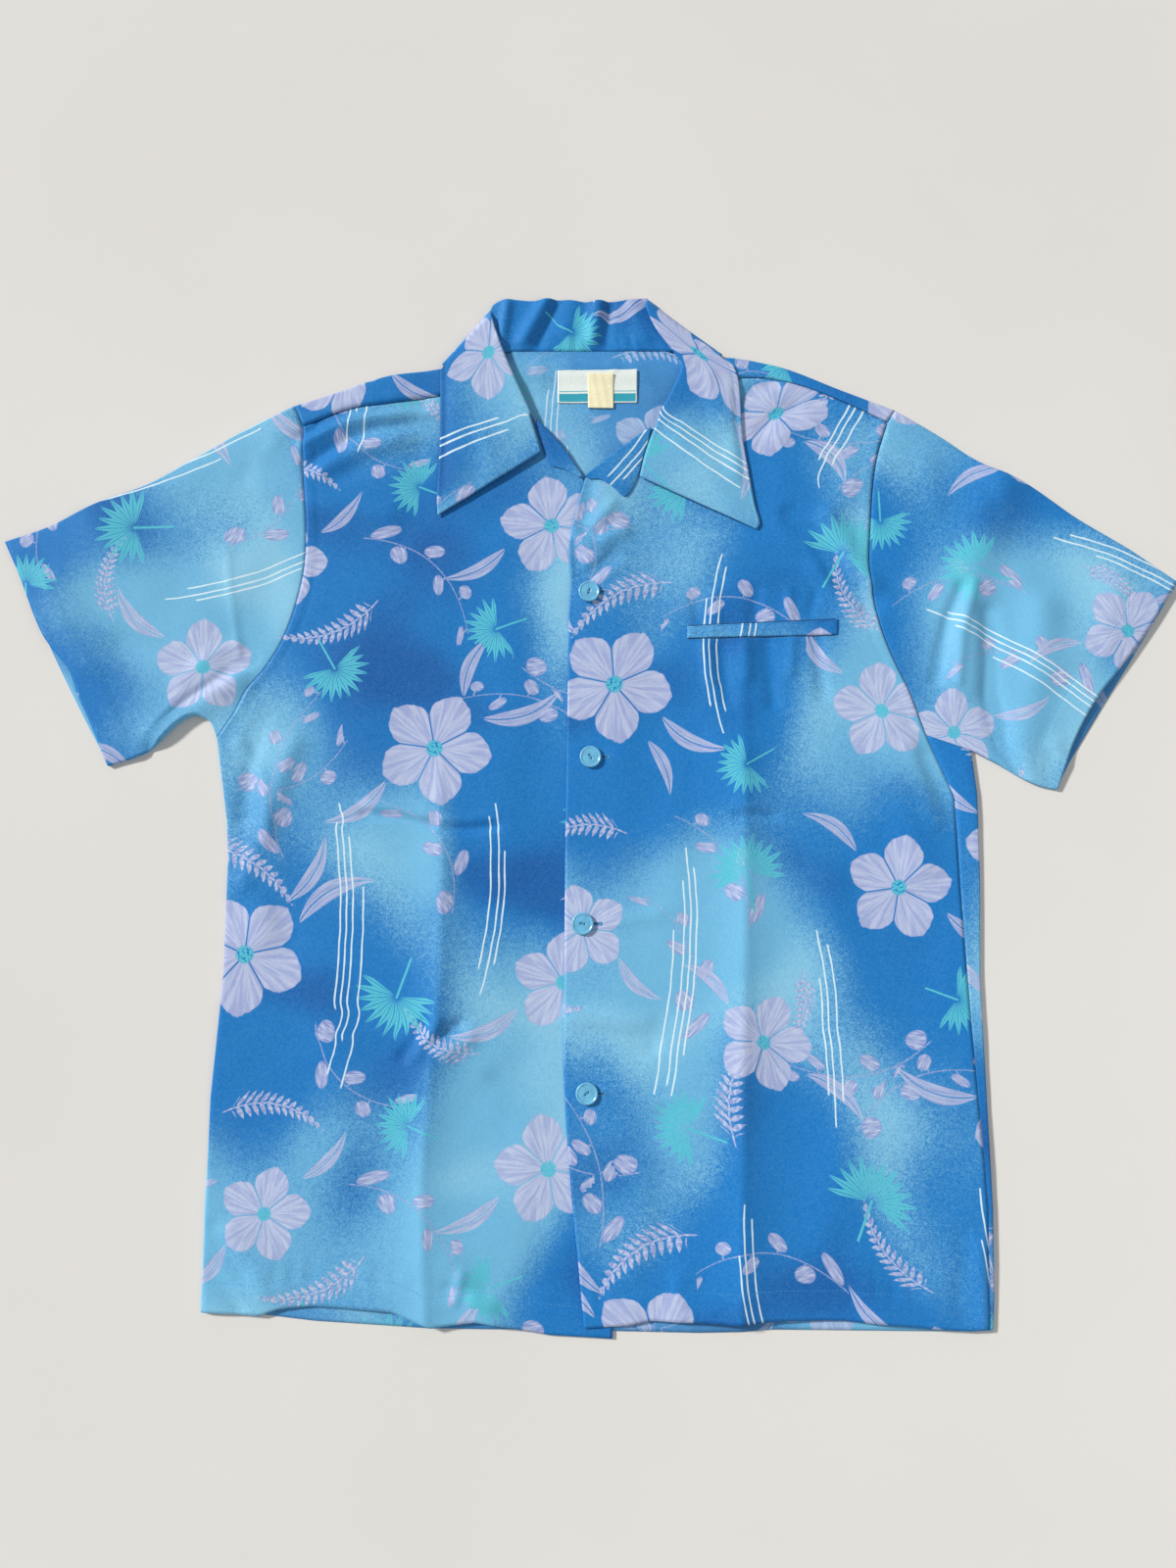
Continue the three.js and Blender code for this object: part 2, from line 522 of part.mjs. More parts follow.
// Back: one piece under everything, folded forward over both shoulders and round the left side
function back() {
  const wraps = leftSideRows.map(({ edge, inward }) => turn(edge, inward, upperHeight, lowerHeight));
  const rightTurns = rightShoulder.map(({ edge, inward }) => turn(edge, inward, upperHeight, lowerHeight));
  const leftTurns = leftShoulder.map(({ edge, inward }) => turn(edge, inward, upperHeight, lowerHeight));
  const flatEnd = (turned) => turned[TURN_CELLS].p.clone().setZ(0);
  const left = [
    ...rightSideRows.map(({ seam, inward }) => seam.clone().addScaledVector(inward, SEAM / 2)),
    ...inset(rightArmhole, SEAM / 2).slice(1),
    flatEnd(rightTurns[0]).add(new THREE.Vector3(SEAM / 2, 0, 0)),
  ];
  const right = [
    ...wraps.map(flatEnd),
    ...inset(leftArmhole, -SEAM / 2),
    flatEnd(leftTurns[0]).add(new THREE.Vector3(-SEAM / 2, 0, 0)),
  ];
  const neck = straight([[BACK_NECK.from, BACK_NECK.y], [BACK_NECK.to, BACK_NECK.y]], BACK_NECK_CELLS);
  const top = [...rightTurns.map(flatEnd), ...neck, ...leftTurns.map(flatEnd).reverse()];
  top[0] = left[left.length - 1].clone();
  top[top.length - 1] = right[right.length - 1].clone();
  const across = fractionsOf(top, 'x');
  const upward = fractionsOf(left, 'y');
  const hem = across.map((u) => {
    const x = THREE.MathUtils.lerp(left[0].x, right[0].x, u);
    return plan([x, lookUp(BACK_HEM, x)]);
  });
  hem[0] = left[0].clone();
  hem[hem.length - 1] = right[0].clone();
  const sheet = blend(left, right, hem, top, across, upward);
  const rows = sheet.map((row, i) => {
    const flat = row.map((point) => onLayer(point, lowerHeight, down));
    if (i >= wraps.length) {
      return [...flat, ...Array(TURN_CELLS + STRIP_CELLS).fill(null)];
    }
    const wrap = wraps[i].slice(0, -1).reverse();
    const end = leftSideRows[i].seam.clone().addScaledVector(leftSideRows[i].inward, -SEAM / 2);
    const start = wraps[i][0].p;
    const strip = range(STRIP_CELLS - 1).map((k) => {
      return onLayer(mix(start, end, (k + 1) / STRIP_CELLS), overlapHeight, up);
    });
    return [...flat, ...wrap, ...strip];
  });
  const columns = rows[0].length;
  const overShoulder = (turns, seams, k, dx) => {
    const start = turns[k][0].p;
    const end = seams[k].seam.clone().setY(seams[k].seam.y + SEAM / 2);
    const shift = new THREE.Vector3(k === 0 ? dx : 0, 0, 0);
    const curl = turns[k].slice(0, -1).reverse().map(({ p, n }) => ({ p: p.clone().add(shift), n }));
    const strip = range(STRIP_CELLS - 1).map((s) => {
      return onLayer(mix(start, end, (s + 1) / STRIP_CELLS).add(shift), upperHeight, up);
    });
    return [...curl, ...strip];
  };
  const rightFlaps = range(SHOULDER_CELLS).map((k) => overShoulder(rightTurns, rightShoulder, k, SEAM / 2));
  const leftFlaps = range(SHOULDER_CELLS).map((k) => overShoulder(leftTurns, leftShoulder, k, -SEAM / 2));
  const lastFlat = sheet[0].length - 1;
  for (const level of range(TURN_CELLS + STRIP_CELLS - 1)) {
    const row = Array(columns).fill(null);
    rightFlaps.forEach((flap, k) => { row[k] = flap[level]; });
    leftFlaps.forEach((flap, k) => { row[lastFlat - k] = flap[level]; });
    rows.push(row);
  }
  return rows;
}

// Sleeve: a flattened tube, open at the cuff, from the armhole outward
function sleeve(outline, armhole, seamLine, underarm, away) {
  const tip = seamLine[0];
  const edgeRows = range(SLEEVE_CELLS).map((k) => k / SLEEVE_CELLS);
  const topEdge = alongAt(outline.top, edgeRows);
  const underEdge = alongAt(outline.under, edgeRows);
  const shift = new THREE.Vector3(away * SEAM, 0, 0);
  const topTurns = topEdge.map((edge, k) => {
    const inward = k === 0 ? tip.inward : direction(edge, underEdge[k]);
    return turn(edge, inward, upperHeight, lowerHeight).map(({ p, n }) => ({ p: p.add(shift), n }));
  });
  const underTurns = underEdge.map((edge, k) => {
    const inward = k === 0 ? direction(underarm, armhole[0]) : direction(edge, topEdge[k]);
    return turn(edge, inward, upperHeight, lowerHeight).map(({ p, n }) => ({ p: p.add(shift), n }));
  });
  const layer = (cuff, end) => {
    const start = topTurns.map((turned) => turned[end].p.clone().setZ(0));
    const finish = underTurns.map((turned) => turned[end].p.clone().setZ(0));
    const armEdge = [start[0], ...armhole.map((point) => point.clone().add(shift)).reverse(), finish[0]];
    const share = lengthFractions(armEdge);
    const cuffEdge = alongAt(cuff, share);
    cuffEdge[0] = start[SLEEVE_CELLS];
    cuffEdge[cuffEdge.length - 1] = finish[SLEEVE_CELLS];
    return blend(start, finish, armEdge, cuffEdge, share, edgeRows);
  };
  const upper = layer(outline.cuffFront, 0);
  const lower = layer(outline.cuffBack, TURN_CELLS);
  return edgeRows.map((_, i) => [
    ...upper[i].slice(1, -1).map((point) => onLayer(point, upperHeight, up)),
    ...underTurns[i],
    ...lower[i].slice(1, -1).reverse().map((point) => onLayer(point, lowerHeight, down)),
    ...topTurns[i].slice().reverse(),
  ]);
}

// Sections of the collar. Each corner becomes several, turning from the upper layer to the lower one.
function collarSections() {
  return COLLAR.flatMap((section, row) => {
    if (!section.half) {
      return [section];
    }
    const goesUnder = COLLAR[row - 1].flip > 0;
    const angles = goesUnder ? SILHOUETTE_TURNS : [...SILHOUETTE_TURNS].reverse();
    return angles.map((flip) => ({ ...section, flip }));
  });
}

// One section of the collar as points and normals, from the neck seam over the roll to the outer edge
function collarRow({ gorge, n, r, e, z, half, flip }) {
  const tilt = THREE.MathUtils.degToRad(flip);
  const neck = plan(n).setZ(z[0]);
  const roll = plan(r).setZ(z[1]);
  const edge = plan(e).setZ(z[2]);
  const outward = direction(roll, edge);
  const standIn = gorge ? outward : direction(roll, neck);
  const beside = new THREE.Vector3(-outward.y, outward.x, 0);
  if (beside.dot(standIn) > 0) {
    beside.negate();
  }
  const side = up.clone().multiplyScalar(Math.sin(tilt)).addScaledVector(beside, Math.cos(tilt));
  const inward = mix(outward, standIn, 0.5).normalize();
  if (half) {
    const tuck = Math.cos(tilt) - 1;
    neck.addScaledVector(beside, half[0] * tuck).setZ(z[0] + half[0] * Math.sin(tilt));
    edge.addScaledVector(beside, half[2] * tuck - HALF).setZ(z[2] + half[2] * Math.sin(tilt));
    roll.addScaledVector(inward, -CORNER_STEP * Math.sin(tilt) * 0.4).setZ(z[1] + half[1] * Math.sin(tilt));
    roll.y -= 3 * CORNER_STEP * Math.sin(tilt);
  }
  if (gorge) {
    const open = Array(STAND_CELLS + ROLL_CELLS).fill(null);
    return [...open, ...range(FALL_CELLS).map((k) => ({ p: mix(roll, edge, k / FALL_CELLS), n: up }))];
  }
  const centre = roll.clone().addScaledVector(inward, ROLL_RADIUS + HALF);
  const standEnd = centre.clone().addScaledVector(side, -ROLL_RADIUS);
  const stand = range(STAND_CELLS - 1).map((k) => {
    return { p: mix(neck, standEnd, k / STAND_CELLS), n: side.clone().negate() };
  });
  const curve = range(ROLL_CELLS).map((k) => {
    const angle = Math.PI * (k / ROLL_CELLS - 0.5);
    const out = inward.clone().multiplyScalar(-Math.cos(angle)).addScaledVector(side, Math.sin(angle));
    return { p: centre.clone().addScaledVector(out, ROLL_RADIUS), n: out };
  });
  const fallStart = curve[ROLL_CELLS].p;
  const fall = range(FALL_CELLS - 1).map((k) => {
    return { p: mix(fallStart, edge, (k + 1) / FALL_CELLS), n: side };
  });
  return [...stand, ...curve, ...fall];
}

function collar() {
  return collarSections().map(collarRow);
}

// Button: a round disc with a raised rim round a shallow dish
function buttonGeometry() {
  const { radius, height, rim, dish, segments } = BUTTON;
  const profile = [
    [0, 0], [radius - 1.2, 0], [radius, 0.8], [radius, height - 0.6], [radius - 0.6, height],
    [radius - rim, height], [radius - rim - 1, height - dish], [0, height - dish],
  ];
  const geometry = new THREE.LatheGeometry(profile.map(([x, y]) => new THREE.Vector2(x, y)), segments);
  return geometry.rotateX(Math.PI / 2);
}

const grids = {
  back: back(),
  front_right: rightFront(),
  front_left: leftFront(),
  collar: collar(),
};

const shirt = new THREE.Group();
shirt.position.set(-MIDDLE.x, -MIDDLE.y, 0);

const printCloth = { color: 0x4f9fd8, roughness: 0.78, metalness: 0 };
const labelCloth = { color: 0xeef2ea, roughness: 0.7, metalness: 0 };
const tabCloth = { color: 0xf3edcf, roughness: 0.7, metalness: 0 };
const buttonPlastic = { color: 0x6db5d4, roughness: 0.32, metalness: 0 };

function add(name, geometry, look) {
  const mesh = new THREE.Mesh(geometry, new THREE.MeshStandardMaterial(look));
  mesh.name = name;
  shirt.add(mesh);
  return mesh;
}

// Garment pieces
add('back', wall(grids.back), printCloth);
add('front_right', wall(grids.front_right), printCloth);
add('front_left', wall(grids.front_left), printCloth);
const rightSleeve = sleeve(RIGHT_SLEEVE, rightArmhole, rightShoulder, rightUnderarm, -1);
const leftSleeve = sleeve(LEFT_SLEEVE, leftArmhole, leftShoulder, leftUnderarm, 1);
add('sleeve_right', wall(rightSleeve, true), printCloth);
add('sleeve_left', wall(leftSleeve, true), printCloth);
add('collar', wall(grids.collar), printCloth);

// Lapels, made from the fronts' points, moved out
const leftTop = (x, y) => overlapHeight(x, y) + HALF + 0.1;
const rightTop = (x, y) => upperHeight(x, y) + HALF + 0.1;
const lapel = ({ inner, outer }, height) => patch(outer.map(plan), inner.map(plan), 2, height);
add('facing_left', wall(lapel(LEFT_LAPEL, leftTop)), printCloth);
add('facing_right', wall(lapel(RIGHT_LAPEL, rightTop)), printCloth);

// Pocket welt, label and size tab
const onFront = (x, y) => topFace(grids.front_left, x, y);
const onBack = (x, y) => LOWER + HALF + PLY * ramp(y, ...LABEL.step);
const onLabel = (x, y) => onBack(x, y) + PLY + 0.1;
const strip = ({ low, high }, columns, rows, height) => {
  return patch(straight(low, columns), straight(high, columns), rows, height);
};
add('pocket_welt', wall(strip(POCKET_WELT, WELT.cells, 1, onFront)), printCloth);
add('neck_label', wall(strip(NECK_LABEL, LABEL.cells, 2, onBack)), labelCloth);
add('size_tab', wall(strip(SIZE_TAB, 2, 2, onLabel)), tabCloth);

// Buttons
BUTTONS.forEach(([x, y], k) => {
  const button = add(`button_${k + 1}`, buttonGeometry(), buttonPlastic);
  const around = [[0, 0], [7, 0], [-7, 0], [0, 7], [0, -7]];
  const seat = Math.max(...around.map(([dx, dy]) => onFront(x + dx, y + dy)));
  button.position.set(x, y, seat + SEAM);
});

export default shirt;
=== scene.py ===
# Looks of a short-sleeved hawaiian shirt, laid flat on its back with its buttons fastened.
# Tables are in millimetres. +X is the wearer's left, +Y the collar end, +Z up from the surface it lies on.

import math

import bpy
import numpy as np
from mathutils import Matrix, Vector

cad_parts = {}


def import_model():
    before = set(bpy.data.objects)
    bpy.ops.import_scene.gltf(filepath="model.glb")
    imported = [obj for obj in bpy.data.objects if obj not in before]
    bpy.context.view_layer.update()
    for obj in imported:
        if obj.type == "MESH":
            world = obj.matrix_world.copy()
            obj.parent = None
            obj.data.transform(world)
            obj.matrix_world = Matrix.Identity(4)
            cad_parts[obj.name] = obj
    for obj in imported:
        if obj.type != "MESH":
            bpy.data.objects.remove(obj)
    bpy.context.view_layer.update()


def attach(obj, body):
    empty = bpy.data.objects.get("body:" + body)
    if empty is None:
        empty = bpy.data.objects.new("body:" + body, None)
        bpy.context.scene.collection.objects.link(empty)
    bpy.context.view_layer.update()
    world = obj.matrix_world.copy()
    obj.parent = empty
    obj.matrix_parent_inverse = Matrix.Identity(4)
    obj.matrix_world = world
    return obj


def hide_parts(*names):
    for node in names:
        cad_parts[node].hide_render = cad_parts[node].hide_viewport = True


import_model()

# Middle of the outline in the tables, which is the frame's origin
MIDDLE = np.array([1.6, -4.6, 0.0])
METRES = 0.001

# Cloth, and the heights of the middle of each layer
SHELL = 0.7
LABEL_SHELL = 0.4
SEAM = 0.16
PLY = 1.3
LOWER = 0.5
UPPER = LOWER + PLY
PUFF = 1.2
CUFF_PUFF = 0.9
LEAST_GAP = 0.95

# Where the loft fades in or out, from and to
LOFT_FADE = {"centre": (34, 70), "collar_y": (205, 175), "collar_x": (125, 150), "cuff": (330, 400),
             "overlap": (58, 22), "placket": (48, 28)}
NECK_RISE = {"slope": 0.0175, "y": 200}
FALL_STEP = {"y": (306, 317), "x": (126, 114)}

# Numbers of grid cells
SIDE_CELLS = 168
ARMHOLE_CELLS = 100
SHOULDER_CELLS = 56
NECK_CELLS = 16
BREAK_CELLS = 32
BACK_NECK_CELLS = 32
STRIP_CELLS = 5
TURN_CELLS = 8
SLEEVE_CELLS = 72
SPLINE_STEPS = 40

# Sewn bands: width, how far they stand up, and how deep the sewing pulls them in
HEM = {"width": 20, "rise": 0.35, "dip": 0.3}
CUFF_HEM = {"width": 22, "rise": 0.35, "dip": 0.3}
ALLOWANCE = {"width": 9, "rise": 0.45, "dip": 0.55}

# Folded side edge at the wearer's right: y, x
RIGHT_SIDE = [
    (-370, -269.3), (-300, -269), (-225, -268.2), (-142, -262.4), (-58, -261.8), (-29, -263.6), (34, -273.5),
]

# Folded side edge at the wearer's left, where the back comes round to the front: y, x
LEFT_SIDE = [
    (-382, 281.2), (-361, 283), (-300, 284.5), (-142, 282), (-72, 284.8), (-7, 285.2), (24.5, 282),
]

# Side seam on the front at the wearer's left: y, x
LEFT_SIDE_SEAM = [
    (-382, 278.5), (-300, 280.8), (-250, 278.5), (-177, 274.2), (-77, 270.1), (-10, 268.2), (13.5, 258.5),
    (36.2, 248.7),
]

# Armholes from the side seam to the forward shoulder seam: x, y
RIGHT_ARMHOLE = [
    (-261, 53), (-252.7, 69.3), (-238.8, 87.8), (-226.4, 110.1), (-217.7, 136.4), (-212.6, 162.8),
    (-212, 193.3), (-215.6, 239.5), (-216.6, 273.7),
]
LEFT_ARMHOLE = [
    (248.7, 36.2), (236.8, 70.7), (227.3, 91.5), (217.9, 117.6), (212.8, 143.9), (210.4, 162.8),
    (212, 193.3), (214.4, 224), (218.1, 247.2), (227.2, 276.8),
]

# Fold over each shoulder, from its tip to the neck, and the seam it comes forward to: x, y
RIGHT_SHOULDER_FOLD = [(-223.8, 290.1), (-194.9, 299.6), (-154, 313.8), (-112, 320.1), (-80, 328)]
RIGHT_SHOULDER_SEAM = [(-216.6, 273.7), (-182.6, 287.3), (-153.5, 292), (-111.7, 298.2), (-82, 303)]
LEFT_SHOULDER_FOLD = [(234.2, 286.2), (192.7, 303), (151.1, 320.1), (114, 328.3), (86, 329)]
LEFT_SHOULDER_SEAM = [(227.2, 276.8), (192.5, 293.7), (162.8, 305.9), (133.7, 312.2), (88, 311)]

# Neck edge of each front, and the line that its lapel breaks along: x, y
RIGHT_NECK = [(-82, 303), (-70, 293), (-58, 287.5), (-47, 286.3)]
RIGHT_BREAK = [(-47, 286.3), (-30.5, 270), (-19.5, 258), (-3, 231), (17, 200)]
LEFT_NECK = [(88, 311), (78, 296), (65, 283), (52, 274)]
LEFT_BREAK = [(52, 274), (29.8, 258.2), (11.2, 243), (-2.2, 232)]
BACK_NECK = {"y": 334.4, "from": -57, "to": 60}

# Centre edges: y, x
RIGHT_CENTRE = [(-387, 17), (200, 17)]
LEFT_CENTRE = [
    (-381, -2.7), (-338, -6.8), (-292, -11.7), (-245, -15.3), (-204, -17.5), (-36, -16.5), (82, -14.9),
    (126, -14.2), (152, -12.6), (175, -14.7), (193, -12.6), (232, -2.2),
]

# Hems: x, y
RIGHT_HEM = [
    (-270, -370), (-228, -372.3), (-215, -367.8), (-191, -365.8), (-136, -369.7), (-109, -380.1),
    (-78, -376.2), (-27, -385.3), (17, -388),
]
LEFT_HEM = [
    (-3, -380.8), (27, -378.8), (44, -375.6), (102, -377.5), (129, -375.6), (177, -375.6), (245, -381.4),
    (265, -382.7), (282, -381.2),
]
BACK_HEM = [
    (-260, -371), (-225, -372.3), (-191, -376.2), (-109, -381.4), (0, -382.7), (95, -384.7), (129, -382.1),
    (258, -383.4), (282, -382),
]

# Outlines of the sleeves: x, y
RIGHT_SLEEVE = {
    "top": [
        (-223.8, 290.1), (-261.3, 270.6), (-297.8, 248.8), (-334, 227.9), (-370.5, 214), (-406.4, 194.8),
        (-438.3, 183.4),
    ],
    "under": [(-273.5, 34), (-279, 46), (-289.7, 50.1), (-300.4, 45), (-324.7, 23), (-352.3, 12.8)],
    "cuff_front": [
        (-438.3, 183.4), (-426.5, 159), (-404.6, 110.1), (-384.2, 84.1), (-377.5, 67), (-367.8, 47.2),
        (-352.3, 12.8),
    ],
    "cuff_back": [(-438.3, 183.4), (-404.6, 110.1), (-377, 56.7), (-352.3, 12.8)],
}
LEFT_SLEEVE = {
    "top": [
        (234.2, 286.2), (268.6, 265.1), (297.6, 244.9), (330.4, 229.4), (369.8, 200.9), (405.5, 178),
        (441.5, 152.2),
    ],
    "under": [(282, 24.5), (302.6, 13.5), (316.7, 4.8), (330.7, -1.7), (343.5, -4.6)],
    "cuff_front": [
        (441.5, 152.2), (432.6, 138.6), (416.5, 113.9), (393, 84.1), (375.9, 63.4), (357.6, 31),
        (343.5, -4.6),
    ],
    "cuff_back": [(441.5, 152.2), (408.4, 98.9), (376.7, 50.8), (351.5, 10.6), (343.5, -4.6)],
}

# Largest folds of the upper layer, as soft ridges and troughs: points x, y, then half width and height
FOLDS = [
    ([(312, 236), (286, 158), (278, 76)], 18, 4.0),
    ([(338, 130), (330, 76), (318, 16)], 15, 3.4),
    ([(-262, 76), (-290, 58), (-316, 34)], 11, 4.0),
    ([(-240, 150), (-262, 92)], 15, -1.2),
    ([(-215, 259), (-194, 272), (-172, 280), (-142, 282.5), (-124, 285)], 4.5, 2.4),
    ([(-201, 239), (-175, 253.4), (-149, 261), (-118, 266)], 7, 2.4),
    ([(-110, -20), (-106, -130), (-116, -330)], 16, 1.6),
    ([(-124, -186), (-76, -206)], 8, 1.4),
    ([(108, 90), (113, -72), (109, -200), (106, -370)], 16, 1.6),
    ([(181, 202.5), (193, 184), (201.6, 164), (212, 151)], 8, 2.8),
    ([(86, 96), (96, 30)], 12, 1.2),
    ([(-282, -296), (-250, -318), (-218, -352)], 16, 2.0),
    ([(-96, -340), (-62, -384)], 11, 1.9),
    ([(62, -352), (54, -384)], 12, 1.5),
    ([(190, -340), (204, -384)], 12, 1.4),
    ([(222, 40), (240, -60)], 13, 1.7),
    ([(-228, 20), (-236, -110)], 14, 2.0),
]

# Creases pressed into the cloth, sharp at the top: points x, y, then half width and height
PRESSED = [
    ([(-109, 10), (-105, -72), (-106, -142), (-117, -278), (-113, -377)], 4.5, 1.2),
    ([(-106, -60), (-106, -142), (-117, -278), (-113, -377)], 24, 3.2),
    ([(115, 117), (114, -72), (110, -197), (106, -377)], 4.5, 1.3),
    ([(114, 20), (114, -72), (110, -197), (106, -377)], 26, 3.4),
    ([(-271, 178), (-267, 143), (-259, 95)], 3.2, 1.2),
    ([(-11.5, 148), (-12.5, 120)], 2.4, -1.1),
]

# Finer soft creases: points x, y, then half width and height
CREASES = [
    ([(-218, 266), (-202, 276.8), (-181, 284.7), (-151, 289), (-126, 291.5)], 4.2, -1.9),
    ([(-212, 243), (-197, 255), (-179, 265), (-160.6, 272), (-142, 274.5), (-112, 276)], 4.8, -2.9),
    ([(-190, 232), (-160, 247), (-130, 252)], 8, -1.0),
    ([(-206, 212), (-150, 204)], 8, 0.9),
    ([(-196, 196), (-140, 186)], 9, -0.8),
    ([(154, 204), (171, 189.5), (180.5, 173.5), (189, 155), (201, 145.4), (213, 137)], 6.5, -3.6),
    ([(170.7, 161), (183, 143), (196, 132.6)], 9, 1.7),
    ([(118, 295), (126, 304), (142, 308)], 5, -1.4),
    ([(131, 270), (142, 282), (158, 290)], 5, -1.6),
    ([(136, 258), (150, 268), (170, 276)], 6, 1.0),
    ([(196, 226), (176, 190)], 10, 1.0),
    ([(6, 214), (8, 168)], 20, 2.1),
    ([(1.5, 225), (0.7, 212.5), (-4.4, 198.6)], 6, -1.8),
    ([(-3, 191), (6, 188.7)], 4, -1.8),
    ([(-1.5, 156), (8.8, 162.8), (20, 172)], 4.5, -3.0),
    ([(-9.6, 181), (-8, 169), (-7.3, 153.7)], 4, -1.7),
    ([(-7.4, 183.4), (8.9, 181), (28, 192)], 5, 2.0),
    ([(6, 196), (18, 212)], 5, 1.9),
    ([(-113.4, -189), (-103.7, -181), (-91, -172.7)], 4.5, -2.6),
    ([(-100, -194), (-84, -184)], 5, 1.8),
    ([(-131.5, -196), (-123, -183.7), (-116.5, -173.4)], 4.5, -2.3),
    ([(-121.7, -196), (-112, -181), (-108, -170)], 4.5, 1.6),
    ([(-14, -186), (43, -188)], 7, -1.8),
    ([(-10, -168), (40, -171)], 8, 1.6),
    ([(-163, -22.6), (-147, -24), (-129, -27.7), (-114, -31)], 3.4, -3.4),
    ([(-160, -16.5), (-140, -18.5), (-120, -24)], 4.2, 1.3),
    ([(-107, -33.4), (-86, -33.4), (-68, -31.3)], 3.4, -2.6),
    ([(-104, -27), (-84, -27), (-70, -25.4)], 4.2, 1.1),
    ([(110, -23.5), (136, -24)], 3.4, -2.6),
    ([(279, 147.4), (268, 121.8), (262, 97), (258, 78)], 4.5, -3.4),
    ([(287, 150), (277, 112), (273, 76)], 4, 2.0),
    ([(298, 128), (299, 102), (297, 70.5), (306, 28), (315, 8)], 8, -3.6),
    ([(322, 150), (352, 96)], 15, 1.5),
    ([(396, 150), (382, 104)], 12, 1.2),
    ([(344, 28), (352, 4)], 7, 1.6),
    ([(256, 250), (262, 214)], 8, 0.9),
    ([(300, 232), (306, 206)], 7, -0.9),
    ([(-250, 93), (-266, 84), (-283, 72), (-299, 60), (-313, 45), (-323, 27)], 4, -3.4),
    ([(-262, 104), (-284, 92), (-302, 76)], 7, 1.2),
    ([(-324, 34.5), (-333.7, 23)], 3, 1.3),
    ([(-345.6, 106), (-315, 100), (-299, 92)], 10, -1.4),
    ([(-372, 190), (-330, 150)], 18, 1.2),
    ([(-400, 150), (-372, 88)], 14, 1.3),
    ([(-228, 276), (-250, 250)], 8, 0.9),
    ([(-246, 262), (-262, 232)], 7, -0.8),
    ([(-88, -344), (-92, -362)], 3.4, 1.6),
    ([(-97.6, -352.5), (-71.6, -356.4)], 3.4, -1.3),
    ([(-80, -362), (-66, -366)], 4, 1.4),
    ([(-263.6, -314.3), (-240.6, -342)], 7, -1.6),
    ([(-262.6, -340.7), (-243.2, -366.8)], 6, -1.4),
    ([(-252, -318), (-226, -356)], 7, 1.2),
    ([(274, -326), (274, -378)], 4, 1.5),
    ([(262, -318), (260, -372)], 6, -1.0),
    ([(249, 20), (266, -24)], 7, -1.4),
    ([(236, 30), (252, -30)], 7, 1.4),
    ([(-244, 44), (-252, -26)], 6, -2.4),
    ([(-216, 29), (-249, -72)], 8, 2.0),
    ([(-256, 30), (-238, 4), (-232, -40)], 5, 1.6),
    ([(-240, -60), (-214, -112)], 10, -1.1),
    ([(86, 103), (90, 76)], 4, 1.8),
    ([(100, 103), (103, 62)], 5, -1.9),
    ([(118, 104), (118, 80)], 5, 1.8),
    ([(134, 105), (137, 60)], 5, -2.0),
    ([(152, 107), (150, 84)], 4, 1.7),
    ([(170, 107), (174, 66)], 5, -1.8),
    ([(82, 122), (80, 138)], 4, -1.3),
    ([(96, 124), (94, 142)], 4, 1.4),
    ([(124, 125), (126, 146)], 5, -1.5),
    ([(150, 126), (150, 144)], 4, 1.4),
    ([(166, 128), (170, 142)], 4, -1.2),
    ([(20, 20), (52, 10)], 6, 1.0),
    ([(14, -102), (50, -96)], 6, 1.0),
    ([(14, -221), (46, -230)], 6, 1.0),
    ([(16, 143), (48, 150)], 6, 1.0),
    ([(-60, 120), (-50, 40)], 16, 1.1),
    ([(-170, 90), (-150, -20)], 20, 1.1),
    ([(60, -40), (52, -140)], 18, 1.1),
    ([(170, -60), (186, -190)], 20, 1.3),
    ([(-190, -140), (-170, -260)], 20, 1.3),
    ([(180, -250), (164, -330)], 16, 1.2),
    ([(-40, -230), (-48, -330)], 14, 1.1),
    ([(40, -270), (34, -350)], 12, 1.1),
]

# Creases of the inside of the back, where the neck shows it: points x, y, then half width and height
INSIDE_CREASES = [
    ([(-40, 328), (-36, 306)], 4, 0.8),
    ([(-12, 330), (-14, 322)], 3, 0.8),
    ([(10, 330), (20, 320)], 3, 0.9),
    ([(34, 330), (50, 300)], 6, 0.9),
    ([(-30, 290), (10, 262)], 9, 0.9),
    ([(0, 284), (30, 268)], 7, 0.8),
]

